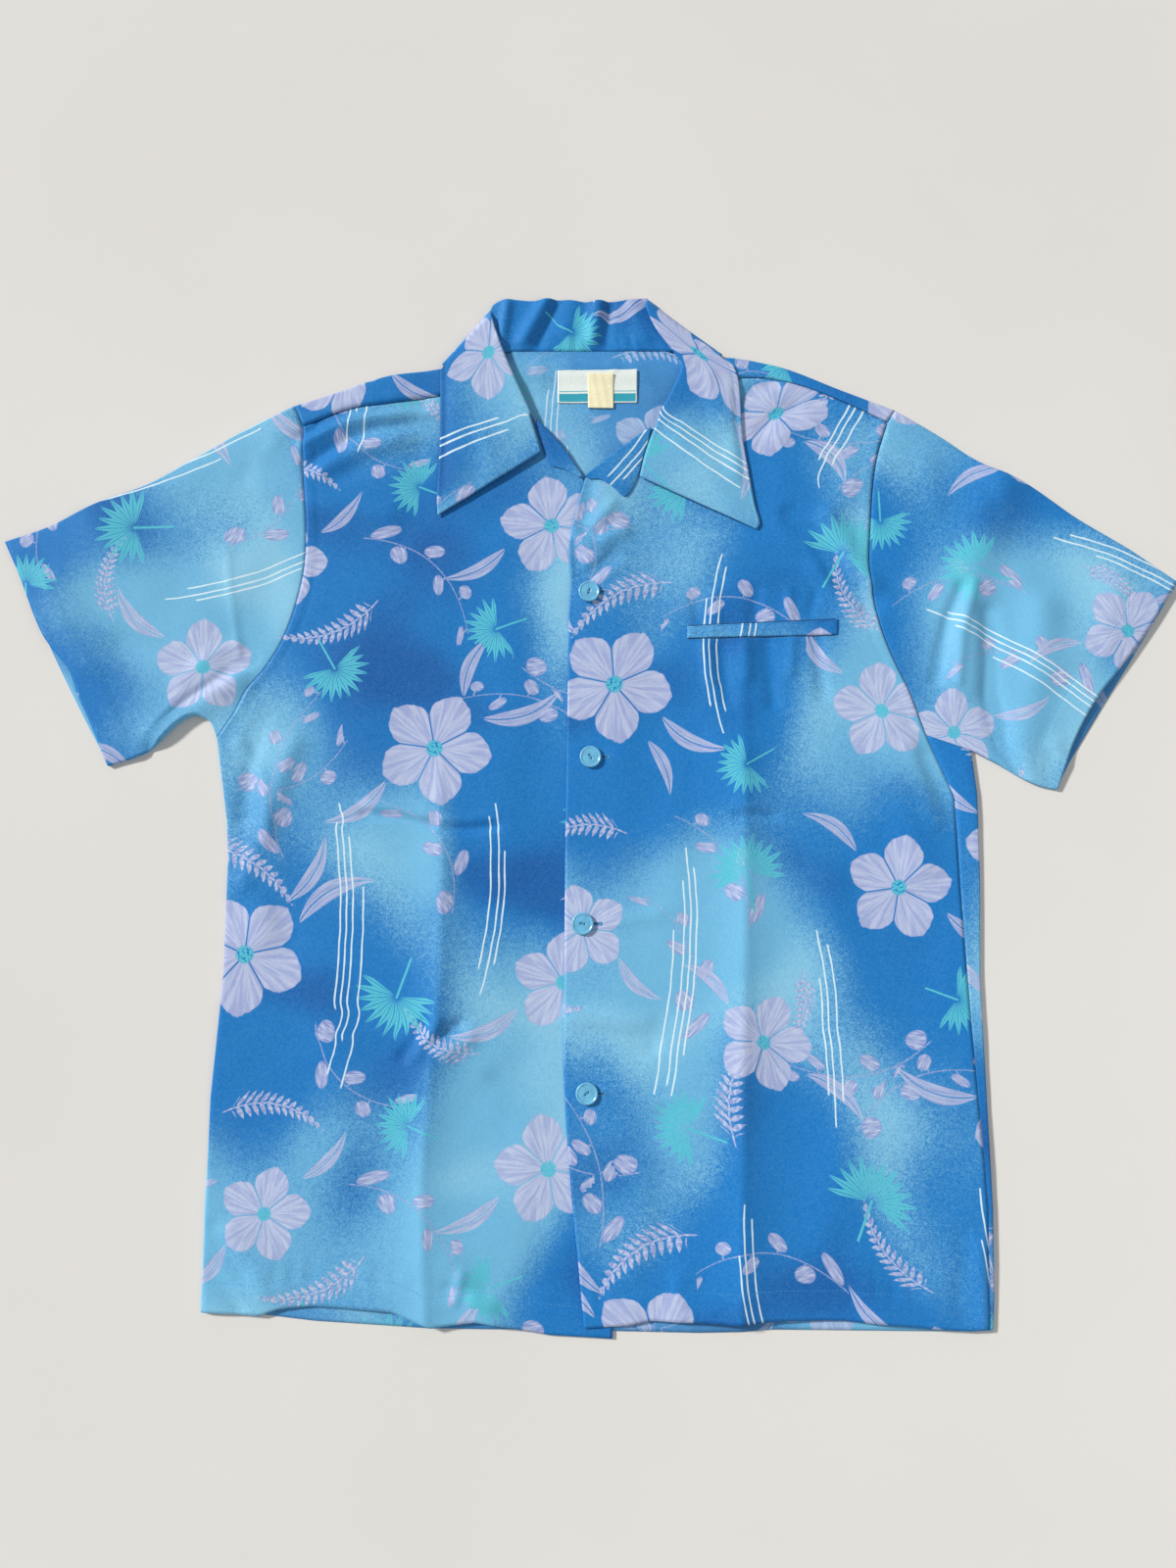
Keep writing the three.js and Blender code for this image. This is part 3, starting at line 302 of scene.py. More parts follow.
# Sections of the collar, from its end at the wearer's right round the back of the neck.
# n: neck seam, r: outermost point of the roll, e: outer edge, each x, y. z: heights of the three.
# flip: where the fall lies, 90 on top of the stand and -90 beneath it. A gorge section has no stand.
# A corner goes round the silhouette of a shoulder: half is half the height between its two layers.
COLLAR = [
    {"gorge": True, "n": (-35, 252.6), "r": (-35, 252.6), "e": (-113.4, 203.4), "z": (6.4, 6.4, 4.0)},
    {"gorge": True, "n": (-39.6, 267), "r": (-39.6, 267), "e": (-114, 216.3), "z": (6.8, 6.8, 4.1)},
    {"n": (-46, 285), "r": (-42.5, 282), "e": (-113.2, 238), "z": (4.4, 6.2, 4.6)},
    {"n": (-57.4, 289), "r": (-49.5, 298), "e": (-112.3, 262.8), "z": (4.4, 6.3, 4.9)},
    {"n": (-69.5, 295), "r": (-57, 315), "e": (-112.3, 284), "z": (4.4, 6.4, 5.4)},
    {"n": (-79.5, 305), "r": (-64, 332), "e": (-112.6, 303), "z": (4.6, 6.4, 5.9)},
    {"n": (-78, 318), "r": (-70.5, 350), "e": (-112.8, 316), "z": (4.9, 6.2, 6.0)},
    {"n": (-75.5, 332), "r": (-74, 366), "e": (-111.8, 323.8), "z": (3.6, 4.1, 3.25), "half": (1.3, 2.0, 2.75)},
    {"n": (-57, 334.7), "r": (-62, 376.8), "e": (-84, 327.5), "z": (1.9, 2.1, 0.5), "flip": -90},
    {"n": (-36, 334.7), "r": (-39, 375.2), "e": (-52, 329), "z": (1.8, 2.1, 0.5), "flip": -90},
    {"n": (-18, 334.7), "r": (-19, 376.4), "e": (-24, 329), "z": (1.8, 2.1, 0.5), "flip": -90},
    {"n": (2, 334.7), "r": (0, 374.3), "e": (0, 329), "z": (1.8, 2.1, 0.5), "flip": -90},
    {"n": (22, 334.7), "r": (18, 375), "e": (28, 329), "z": (1.8, 2.1, 0.5), "flip": -90},
    {"n": (58, 334.7), "r": (36.5, 376.6), "e": (72, 329.5), "z": (1.9, 2.1, 0.5), "flip": -90},
    {"n": (77, 334.6), "r": (44.5, 374), "e": (103, 331.4), "z": (3.6, 4.1, 3.25), "half": (1.3, 2.0, 2.75)},
    {"n": (84, 324), "r": (51.5, 352), "e": (111, 321), "z": (4.9, 6.2, 6.0)},
    {"n": (86, 311.5), "r": (63.5, 335), "e": (115, 307), "z": (4.9, 6.4, 6.0)},
    {"n": (77.5, 298), "r": (71, 322), "e": (116.2, 286), "z": (4.6, 6.4, 5.4)},
    {"n": (64.5, 284.8), "r": (64.5, 303), "e": (117.5, 264), "z": (4.6, 6.3, 4.9)},
    {"n": (52.6, 275.8), "r": (54, 283), "e": (121, 240), "z": (5.0, 6.4, 4.6)},
    {"gorge": True, "n": (47.6, 264), "r": (47.6, 264), "e": (125.9, 211), "z": (6.4, 6.4, 4.1)},
    {"gorge": True, "n": (42.6, 249), "r": (42.6, 249), "e": (129.3, 197.5), "z": (6.2, 6.2, 4.0)},
    {"gorge": True, "n": (38.9, 233.3), "r": (38.9, 233.3), "e": (127.1, 192.5), "z": (5.9, 5.9, 4.0)},
]
ROLL_RADIUS = 1.6
CAD_HALF = 0.5
SILHOUETTE_TURNS = [75, 45, 15, -15, -45, -75]
CORNER_STEP = 1.5
COLLAR_STAND_CELLS = 2
COLLAR_ROLL_CELLS = 4
COLLAR_FALL_CELLS = 4
COLLAR_ROW_STEP = 2.2
COLLAR_FINE_CELLS = [8] * COLLAR_STAND_CELLS + [3] * COLLAR_ROLL_CELLS + [11] * COLLAR_FALL_CELLS

# Soft ripples of the stand and creases of the leaves: points x, y, then half width and height
COLLAR_CREASES = [
    ([(-30, 378), (-49, 344)], 6, 4.4),
    ([(-22, 378), (-38, 340)], 4, -1.5),
    ([(9, 378), (3, 344)], 6, 4.0),
    ([(18, 378), (14, 340)], 4, -1.5),
    ([(-10, 376), (-18, 350)], 6, 1.2),
    ([(-62, 372), (-66, 345)], 4, 3.0),
    ([(34, 372), (44, 345)], 7, 2.0),
    ([(-14, 345), (-15, 336)], 2.0, 0.8),
    ([(-6, 344), (-5, 336)], 2.0, 0.8),
    ([(28, 345), (29, 336)], 2.0, 0.8),
    ([(36, 346), (39, 336)], 2.2, 1.0),
    ([(-100, 300), (-98, 232)], 9, 1.0),
    ([(108, 300), (112, 236)], 8, 1.3),
    ([(92, 312), (100, 276)], 7, 1.3),
    ([(70, 262), (108, 214)], 10, 1.0),
    ([(-80, 268), (-72, 240)], 9, 1.0),
]

# Lapels turned out at the neck, each between its break line and its outer edge: x, y
LEFT_LAPEL = {
    "inner": [(-1.8, 233.4), (6, 239.6), (16, 247.8), (26, 256), (36, 263.5), (43, 268.6), (48, 272)],
    "outer": [(1, 231.6), (8.9, 231.2), (18.6, 225.3), (28.2, 217.8), (37.6, 233.3), (41.2, 248), (45.6, 261.5)],
}
RIGHT_LAPEL = {
    "inner": [(-41, 279.4), (-35, 273.6), (-27, 265.4), (-19, 256), (-11, 243.6), (-4.4, 233.6)],
    "outer": [(-40.4, 276.4), (-36, 263), (-32.6, 252), (-29.4, 243.2), (-18, 239.6), (-6.4, 233)],
}

# Corners of the pocket welt, the label and the size tab, low X edge first: x, y
POCKET_WELT = {"low": [(73.8, 108.6), (185.9, 111.5)], "high": [(73.8, 118), (186.6, 123.3)]}
NECK_LABEL = {"low": [(-23.3, 293), (37.6, 293.6)], "high": [(-23.3, 318.6), (37.6, 319.3)]}
SIZE_TAB = {"low": [(0, 289), (19.5, 289)], "high": [(0, 316), (19.5, 316)]}
LABEL_STEP = (290, 312)

# Middles of the buttons: x, y
BUTTONS = [(0.9, 144.2), (1.9, 19.5), (-3.8, -102.1), (-0.8, -221.7)]
BUTTON = {"radius": 8, "height": 2.6, "rim": 1.3, "dish": 0.55}
BUTTONHOLE = {"length": 17, "from": 4.5, "slit": 0.45, "side": 0.95}


def array(table):
    return np.array(table, float)


def smooth(share):
    return share * share * (3 - 2 * share)


def ramp(value, start, stop):
    return smooth(np.clip((value - start) / (stop - start), 0, 1))


def look_up(table, key):
    rows = array(table)
    return np.interp(key, rows[:, 0], rows[:, 1])


def distances(points):
    steps = np.linalg.norm(np.diff(points, axis=0), axis=1)
    return np.concatenate([[0], np.cumsum(steps)])


def spline(table, shares):
    """Centripetal curve through a table, at the given shares of its length"""
    points = array(table)
    ends = np.vstack([2 * points[0] - points[1], points, 2 * points[-1] - points[-2]])
    t = np.linspace(0, 1, SPLINE_STEPS, endpoint=False)[:, None]
    pieces = []
    for k in range(len(points) - 1):
        p0, p1, p2, p3 = ends[k:k + 4]
        d0, d1, d2 = (math.sqrt(np.linalg.norm(b - a)) for a, b in ((p0, p1), (p1, p2), (p2, p3)))
        m1 = ((p1 - p0) / d0 - (p2 - p0) / (d0 + d1) + (p2 - p1) / d1) * d1
        m2 = ((p2 - p1) / d1 - (p3 - p1) / (d1 + d2) + (p3 - p2) / d2) * d1
        pieces.append(p1 + m1 * t + (3 * (p2 - p1) - 2 * m1 - m2) * t ** 2 + (2 * (p1 - p2) + m1 + m2) * t ** 3)
    dense = np.vstack(pieces + [points[-1:]])
    lengths = distances(dense)
    wanted = np.asarray(shares) * lengths[-1]
    return np.stack([np.interp(wanted, lengths, dense[:, axis]) for axis in range(dense.shape[1])], axis=1)


def equal(cells):
    return np.linspace(0, 1, cells + 1)


def hermite(values, at, wanted):
    """Smooth curve through rows of values, which never swings past them"""
    slopes = np.diff(values, axis=0) / np.diff(at)[:, None]
    tangents = np.zeros_like(values)
    product = slopes[:-1] * slopes[1:]
    total = slopes[:-1] + slopes[1:]
    safe = np.where(np.abs(total) > 1e-12, total, 1)
    tangents[1:-1] = np.where(product > 0, 2 * product / safe, 0)
    tangents[0] = slopes[0]
    tangents[-1] = slopes[-1]
    k = np.clip(np.searchsorted(at, wanted, side="right") - 1, 0, len(at) - 2)
    width = (at[k + 1] - at[k])[:, None]
    t = ((wanted - at[k])[:, None]) / width
    low = values[k] * (1 + 2 * t) * (1 - t) ** 2 + tangents[k] * width * t * (1 - t) ** 2
    high = values[k + 1] * t ** 2 * (3 - 2 * t) + tangents[k + 1] * width * t ** 2 * (t - 1)
    return low + high


def path_distance(x, y, path):
    """Distance to the nearest point of a path of straight lines"""
    nearest_yet = np.full(np.shape(x), np.inf)
    for (x0, y0), (x1, y1) in zip(path, path[1:]):
        dx, dy = x1 - x0, y1 - y0
        t = np.clip(((x - x0) * dx + (y - y0) * dy) / (dx * dx + dy * dy), 0, 1)
        nearest_yet = np.minimum(nearest_yet, np.hypot(x - x0 - t * dx, y - y0 - t * dy))
    return nearest_yet


def soft_folds(x, y, table):
    """Rounded ridges, and troughs where the height is negative"""
    return sum(height * np.exp(-(path_distance(x, y, path) / width) ** 2) for path, width, height in table)


def pressed_folds(x, y, table):
    """Ridges with a sharp crest, and troughs where the height is negative"""
    return sum(height * np.exp(-path_distance(x, y, path) / width) for path, width, height in table)


def undulation(x, y):
    """Low swells that cloth keeps after it has been smoothed by hand"""
    first = np.sin(x / 27 + 1.4 * np.sin(y / 71 + 0.6)) * np.sin(y / 43 + 1.1 * np.sin(x / 83))
    second = np.sin((x + 0.6 * y) / 19 + 1.7 * np.sin(y / 52)) * np.sin((y - 0.4 * x) / 31 + 0.8)
    third = np.sin(x / 7.3 + 2.1 * np.sin(y / 23)) * np.sin(y / 9.1 + 1.7 * np.sin(x / 29))
    return 0.55 * first + 0.36 * second + 0.13 * third


def lower_height(x, y):
    under_collar = PLY * ramp(y, *FALL_STEP["y"]) * ramp(np.abs(x), *FALL_STEP["x"])
    near_neck = ramp(y, 240, 262) * ramp(np.abs(x), 80, 60)
    return LOWER + under_collar + near_neck * np.maximum(0, soft_folds(x, y, INSIDE_CREASES))


def upper_height(x, y):
    away = ramp(np.abs(x), *LOFT_FADE["centre"])
    free = np.maximum(ramp(y, *LOFT_FADE["collar_y"]), ramp(np.abs(x), *LOFT_FADE["collar_x"]))
    near_cuff = ramp(np.abs(x), *LOFT_FADE["cuff"])
    rise = NECK_RISE["slope"] * np.maximum(0, y - NECK_RISE["y"])
    loft = np.maximum(0, PUFF + soft_folds(x, y, FOLDS)) * away * free
    placket = 0.9 * ramp(np.abs(x), *LOFT_FADE["placket"])
    fine = soft_folds(x, y, CREASES) + pressed_folds(x, y, PRESSED) + undulation(x, y)
    fine = np.where(fine < 0, fine, fine * np.maximum(free, placket))
    spare = UPPER + rise + loft + fine + CUFF_PUFF * near_cuff - LOWER - LEAST_GAP
    return LOWER + LEAST_GAP + (spare + np.sqrt(spare ** 2 + 0.3 ** 2)) / 2


def overlap_height(x, y):
    return upper_height(x, y) + PLY * ramp(x, *LOFT_FADE["overlap"])


def direction(start, stop):
    across = stop - start
    return across / np.linalg.norm(across, axis=-1, keepdims=True)


def lifted(plan, heights):
    return np.concatenate([plan, heights[..., None]], axis=-1)


def raised(plan, height, add=0.0):
    return lifted(plan, height(plan[..., 0], plan[..., 1]) + add)


def facing(points, z):
    normals = np.zeros_like(points)
    normals[..., 2] = z
    return normals


def turn(edge, inward, high, low):
    """Half circles round a folded edge, from the upper layer to the lower one"""
    probe = edge + 2 * inward
    top = high(probe[:, 0], probe[:, 1])
    bottom = low(probe[:, 0], probe[:, 1])
    radius = (top - bottom) / 2
    centre = lifted(edge + inward * (radius + SHELL / 2)[:, None], (top + bottom) / 2)
    angles = np.linspace(0, math.pi, TURN_CELLS + 1)
    out = np.zeros((len(edge), TURN_CELLS + 1, 3))
    out[..., :2] = -inward[:, None, :] * np.sin(angles)[None, :, None]
    out[..., 2] = np.cos(angles)[None, :]
    return centre[:, None, :] + out * radius[:, None, None], out


def blend(left, right, bottom, top, across, upward):
    """Grid of plan points between four edges"""
    u = across[None, :, None]
    v = upward[:, None, None]
    sides = left[:, None] * (1 - u) + right[:, None] * u
    ends = bottom[None] * (1 - v) + top[None] * v
    corners = (bottom[0] * (1 - u) + bottom[-1] * u) * (1 - v) + (top[0] * (1 - u) + top[-1] * u) * v
    return sides + ends - corners


def fractions(points, axis):
    return (points[:, axis] - points[0, axis]) / (points[-1, axis] - points[0, axis])


def shifted(points, dx=0.0, dy=0.0):
    moved = points.copy()
    moved[:, 0] += dx
    moved[:, 1] += dy
    return moved


def band(distance, width, rise, dip):
    """Height of a sewn band along an edge: it stands up to its width, and its sewing pulls it in"""
    step = rise * ramp(distance, width + 2.5, width - 1)
    return step - dip * np.exp(-((distance - width) / 1.6) ** 2)


class Panel:
    """Grid of points in the middle of the cloth. A place that isn't a number is open."""

    def __init__(self, points, normals, cloth=None, closed=False):
        self.points = points
        self.normals = normals
        self.cloth = cloth
        self.closed = closed


# Rows of the two sides: the folded edge, and the seam that the folded strip ends at
def side_rows(count, low_y, low_seam_y, underarm, landing, edge_table, seam_x):
    t = equal(count)
    y = low_y + (underarm[1] - low_y) * t
    seam_y = low_seam_y + (landing[1] - low_seam_y) * t
    edge = np.stack([look_up(edge_table, y), y], axis=1)
    seam = np.stack([seam_x(t, seam_y), seam_y], axis=1)
    return {"edge": edge, "seam": seam, "inward": direction(edge, seam)}


right_landing = array(RIGHT_ARMHOLE[0])
left_landing = array(LEFT_ARMHOLE[0])
right_underarm = array(RIGHT_SLEEVE["under"][0])
left_underarm = array(LEFT_SLEEVE["under"][0])
right_rows = side_rows(SIDE_CELLS + 1, -370, -370.6, right_underarm, right_landing, RIGHT_SIDE,
                       lambda t, y: -257 + (right_landing[0] + 257) * t ** 2)
left_rows = side_rows(SIDE_CELLS, -382, -382, left_underarm, left_landing, LEFT_SIDE,
                      lambda t, y: look_up(LEFT_SIDE_SEAM, y))
right_armhole = spline(RIGHT_ARMHOLE, equal(ARMHOLE_CELLS))
left_armhole = spline(LEFT_ARMHOLE, equal(ARMHOLE_CELLS))


def shoulder(fold_table, seam_table):
    edge = spline(fold_table, equal(SHOULDER_CELLS))
    seam = spline(seam_table, equal(SHOULDER_CELLS))
    return {"edge": edge, "seam": seam, "inward": direction(edge, seam)}


right_shoulder = shoulder(RIGHT_SHOULDER_FOLD, RIGHT_SHOULDER_SEAM)
left_shoulder = shoulder(LEFT_SHOULDER_FOLD, LEFT_SHOULDER_SEAM)


def edge_gaps(plan, rows):
    """Distances to the outer edge of each row, for the rows along the armhole only"""
    gap = np.linalg.norm(plan - plan[:, :1], axis=-1)
    gap[:rows] += (rows - np.arange(rows))[:, None] * 3.0
    return gap


def puckers(x, hem_gap):
    """Small uneven waves that the hem's sewing draws up in the cloth beside it"""
    waves = np.sin(x / 2.9 + 2.2 * np.sin(x / 11)) * (0.55 + 0.45 * np.sin(x / 34 + 1))
    return 0.34 * waves * np.exp(-((hem_gap - HEM["width"] - 3) / 9) ** 2)


def front_bands(plan, side_count):
    """Raised hem and seam allowances of a front"""
    hem = np.abs(plan[..., 1] - plan[:1, :, 1])
    arm = edge_gaps(plan, side_count)
    top = np.linalg.norm(plan - plan[-1:], axis=-1)
    shoulder_only = np.arange(plan.shape[1])[None, :] <= SHOULDER_CELLS
    seam_dip = np.where(shoulder_only, -0.3 * np.exp(-(top / 1.8) ** 2), 0)
    return band(hem, **HEM) + puckers(plan[..., 0], hem) + band(arm, **ALLOWANCE) * 0.8 + seam_dip


def right_front():
    curls, curl_normals = turn(right_rows["edge"], right_rows["inward"], upper_height, lower_height)
    outer = np.vstack([curls[:, 0, :2], shifted(right_armhole, SEAM / 2)])
    top = np.vstack([
        shifted(right_shoulder["seam"], 0, -SEAM / 2),
        spline(RIGHT_NECK, equal(NECK_CELLS))[1:],
        spline(RIGHT_BREAK, equal(BREAK_CELLS))[1:],
    ])
    top[0, 0] = outer[-1, 0]
    outer[-1] = top[0]
    across = fractions(top, 0)
    upward = fractions(outer, 1)
    hem_x = outer[0, 0] + (look_up(RIGHT_CENTRE, -387) - outer[0, 0]) * across
    hem = np.stack([hem_x, look_up(RIGHT_HEM, hem_x)], axis=1)
    hem[0, 1] = outer[0, 1]
    centre_y = hem[-1, 1] + (top[-1, 1] - hem[-1, 1]) * upward
    centre = np.stack([look_up(RIGHT_CENTRE, centre_y), centre_y], axis=1)
    plan = blend(outer, centre, hem, top, across, upward)
    flat = raised(plan, upper_height, front_bands(plan, len(curls)) * ramp(plan[..., 0], 10, -30))
    rows, columns = plan.shape[:2]
    points = np.full((rows, columns + TURN_CELLS + STRIP_CELLS, 3), np.nan)
    normals = np.zeros_like(points)
    first = STRIP_CELLS + TURN_CELLS
    points[:, first:] = flat
    normals[:, first:, 2] = 1
    points[:len(curls), STRIP_CELLS:first] = curls[:, :0:-1]
    normals[:len(curls), STRIP_CELLS:first] = curl_normals[:, :0:-1]
    end = right_rows["seam"] - right_rows["inward"] * SEAM / 2
    inner = curls[:, -1, :2]
    share = (np.arange(STRIP_CELLS) / STRIP_CELLS)[None, :, None]
    strip = end[:, None] * (1 - share) + inner[:, None] * share
    points[:len(curls), :STRIP_CELLS] = raised(strip, lower_height)
    normals[:, :STRIP_CELLS, 2] = -1
    return Panel(points, normals)


def left_front():
    outer = np.vstack([left_rows["seam"] + left_rows["inward"] * SEAM / 2, shifted(left_armhole, -SEAM / 2)[1:]])
    top = np.vstack([
        shifted(left_shoulder["seam"], 0, -SEAM / 2),
        spline(LEFT_NECK, equal(NECK_CELLS))[1:],
        spline(LEFT_BREAK, equal(BREAK_CELLS))[1:],
    ])
    top[0, 0] = outer[-1, 0]
    outer[-1] = top[0]
    across = fractions(top, 0)
    upward = fractions(outer, 1)
    centre_y = LEFT_HEM[0][1] + (top[-1, 1] - LEFT_HEM[0][1]) * upward
    centre = np.stack([look_up(LEFT_CENTRE, centre_y), centre_y], axis=1)
    hem_x = outer[0, 0] + (centre[0, 0] - outer[0, 0]) * across
    hem = np.stack([hem_x, look_up(LEFT_HEM, hem_x)], axis=1)
    hem[0] = outer[0]
    hem[-1] = centre[0]
    plan = blend(outer, centre, hem, top, across, upward)
    points = raised(plan, overlap_height, front_bands(plan, SIDE_CELLS + 1))
    return Panel(points, facing(points, 1))


def back():
    wraps, wrap_normals = turn(left_rows["edge"], left_rows["inward"], upper_height, lower_height)
    flaps = [turn(s["edge"], s["inward"], upper_height, lower_height) for s in (right_shoulder, left_shoulder)]
    ends = [flap[0][:, -1, :2] for flap in flaps]
    left = np.vstack([
        right_rows["seam"] + right_rows["inward"] * SEAM / 2,
        shifted(right_armhole, SEAM / 2)[1:],
        ends[0][:1] + [SEAM / 2, 0],
    ])
    right = np.vstack([wraps[:, -1, :2], shifted(left_armhole, -SEAM / 2), ends[1][:1] - [SEAM / 2, 0]])
    neck_x = np.linspace(BACK_NECK["from"], BACK_NECK["to"], BACK_NECK_CELLS + 1)
    neck = np.stack([neck_x, np.full_like(neck_x, BACK_NECK["y"])], axis=1)
    top = np.vstack([ends[0], neck, ends[1][::-1]])
    top[0] = left[-1]
    top[-1] = right[-1]
    across = fractions(top, 0)
    upward = fractions(left, 1)
    hem_x = left[0, 0] + (right[0, 0] - left[0, 0]) * across
    hem = np.stack([hem_x, look_up(BACK_HEM, hem_x)], axis=1)
    hem[0] = left[0]
    hem[-1] = right[0]
    plan = blend(left, right, hem, top, across, upward)
    flat = raised(plan, lower_height)
    rows, columns = plan.shape[:2]
    extra = TURN_CELLS + STRIP_CELLS
    points = np.full((rows + extra, columns + extra, 3), np.nan)
    normals = np.zeros_like(points)
    normals[..., 2] = -1
    points[:rows, :columns] = flat
    points[:len(wraps), columns:columns + TURN_CELLS] = wraps[:, -2::-1]
    normals[:len(wraps), columns:columns + TURN_CELLS] = wrap_normals[:, -2::-1]
    end = left_rows["seam"] - left_rows["inward"] * SEAM / 2
    share = (np.arange(1, STRIP_CELLS + 1) / STRIP_CELLS)[None, :, None]
    strip = wraps[:, :1, :2] * (1 - share) + end[:, None] * share
    points[:len(wraps), columns + TURN_CELLS:] = raised(strip, overlap_height)
    normals[:len(wraps), columns + TURN_CELLS:] = [0, 0, 1]
    for (turned, out), seam, side in zip(flaps, (right_shoulder, left_shoulder), (0, 1)):
        inset = np.zeros((SHOULDER_CELLS + 1, 1))
        inset[0] = SEAM / 2 if side == 0 else -SEAM / 2
        stop = shifted(seam["seam"], 0, SEAM / 2)
        strip = turned[:, :1, :2] * (1 - share) + stop[:, None] * share
        rise = ALLOWANCE["rise"] * ramp(share[..., 0] * np.ones((len(stop), 1)), 0.2, 0.8)
        flap = np.concatenate([turned[:, -2::-1], raised(strip, upper_height, rise)], axis=1)
        flap[..., 0] += inset
        upward_normals = np.zeros(strip.shape[:2] + (3,)) + [0, 0, 1]
        out = np.concatenate([out[:, -2::-1], upward_normals], axis=1)
        target = slice(0, SHOULDER_CELLS + 1) if side == 0 else slice(columns - 1, columns - 2 - SHOULDER_CELLS, -1)
        points[rows:, target] = flap.transpose(1, 0, 2)
        normals[rows:, target] = out.transpose(1, 0, 2)
    return Panel(points, normals)


def sleeve(outline, armhole, seam_line, underarm, away):
    """Flattened tube, open at the cuff, from the armhole outward. Its ring starts at the underarm fold."""
    shares = equal(SLEEVE_CELLS)
    top_edge = spline(outline["top"], shares)
    under_edge = spline(outline["under"], shares)
    top_in = direction(top_edge, under_edge)
    top_in[0] = seam_line["inward"][0]
    under_in = direction(under_edge, top_edge)
    under_in[0] = direction(underarm, armhole[0])
    for inward in (top_in, under_in):
        for k in range(1, 6):
            inward[k] = direction(np.zeros(2), inward[0] * (1 - k / 6) + inward[k] * k / 6)
    top_turn, top_out = turn(top_edge, top_in, upper_height, lower_height)
    under_turn, under_out = turn(under_edge, under_in, upper_height, lower_height)
    for turned in (top_turn, under_turn):
        turned[..., 0] += away * SEAM

    def layer(cuff, end, height):
        start = top_turn[:, end, :2]
        finish = under_turn[:, end, :2]
        arm_edge = np.vstack([start[:1], shifted(armhole, away * SEAM)[::-1], finish[:1]])
        lengths = distances(arm_edge)
        share = lengths / lengths[-1]
        cuff_edge = spline(cuff, share)
        cuff_edge[0] = start[-1]
        cuff_edge[-1] = finish[-1]
        plan = blend(start, finish, arm_edge, cuff_edge, share, shares)[:, 1:-1]
        cuff_gap = np.linalg.norm(plan - plan[-1:], axis=-1)
        arm_gap = np.linalg.norm(plan - plan[:1], axis=-1)
        dip = -0.3 * np.exp(-(arm_gap / 2.0) ** 2)
        add = band(cuff_gap, **CUFF_HEM) + dip if end == 0 else 0.0
        return raised(plan, height, add)

    upper = layer(outline["cuff_front"], 0, upper_height)
    lower = layer(outline["cuff_back"], -1, lower_height)
    half = TURN_CELLS // 2
    points = np.concatenate([under_turn[:, half:], lower[:, ::-1], top_turn[:, ::-1], upper, under_turn[:, :half]],
                            axis=1)
    normals = np.concatenate([under_out[:, half:], facing(lower, -1), top_out[:, ::-1], facing(upper, 1),
                              under_out[:, :half]], axis=1)
    return Panel(points, normals, closed=True)


def collar_sections():
    sections = []
    for row, section in enumerate(COLLAR):
        if "half" not in section:
            sections.append({"flip": 90, **section})
            continue
        goes_under = COLLAR[row - 1].get("flip", 90) > 0
        turns = SILHOUETTE_TURNS if goes_under else SILHOUETTE_TURNS[::-1]
        sections.extend({**section, "flip": flip} for flip in turns)
    return sections


def collar_row(section):
    """One section of the collar, from the neck seam over the roll to the outer edge"""
    up = np.array([0, 0, 1.0])
    tilt = math.radians(section["flip"])
    z = section["z"]
    neck = np.array([*section["n"], z[0]])
    roll = np.array([*section["r"], z[1]])
    edge = np.array([*section["e"], z[2]])
    flat = np.array([1, 1, 0.0])
    gorge = section.get("gorge", False)
    outward = direction(roll * flat, edge * flat)
    stand_in = outward if gorge else direction(roll * flat, neck * flat)
    beside = np.array([-outward[1], outward[0], 0])
    if beside @ stand_in > 0:
        beside = -beside
    side = up * math.sin(tilt) + beside * math.cos(tilt)
    inward = direction(np.zeros(3), outward + stand_in)
    if "half" in section:
        half = section["half"]
        tuck = math.cos(tilt) - 1
        lift = math.sin(tilt)
        neck = neck + beside * half[0] * tuck + up * half[0] * lift
        edge = edge + beside * (half[2] * tuck - CAD_HALF) + up * half[2] * lift
        roll = roll - inward * CORNER_STEP * lift * 0.4 + up * half[1] * lift
        roll[1] -= 3 * CORNER_STEP * lift
    if gorge:
        gap = [np.full(3, np.nan)] * (COLLAR_STAND_CELLS + COLLAR_ROLL_CELLS)
        fall = [roll + (edge - roll) * share for share in equal(COLLAR_FALL_CELLS)]
        return np.array(gap + fall), np.array([up] * len(gap + fall))
    centre = roll + inward * (ROLL_RADIUS + CAD_HALF)
    stand_end = centre - side * ROLL_RADIUS
    points = [neck + (stand_end - neck) * share for share in equal(COLLAR_STAND_CELLS)[:-1]]
    normals = [-side] * COLLAR_STAND_CELLS
    for share in equal(COLLAR_ROLL_CELLS):
        angle = math.pi * (share - 0.5)
        out = -inward * math.cos(angle) + side * math.sin(angle)
        points.append(centre + out * ROLL_RADIUS)
        normals.append(out)
    start = points[-1]
    for share in equal(COLLAR_FALL_CELLS)[1:]:
        points.append(start + (edge - start) * share)
        normals.append(side)
    return np.array(points), np.array(normals)


def refine_rows(values, at, wanted):
    """Smooth rows between the given ones, column by column, over the rows where the column isn't open"""
    result = np.full((len(wanted),) + values.shape[1:], np.nan)
    for column in range(values.shape[1]):
        rows = np.isfinite(values[:, column, 0])
        inside = (wanted >= at[rows][0] - 1e-6) & (wanted <= at[rows][-1] + 1e-6)
        result[inside, column] = hermite(values[rows, column], at[rows], wanted[inside])
    return result


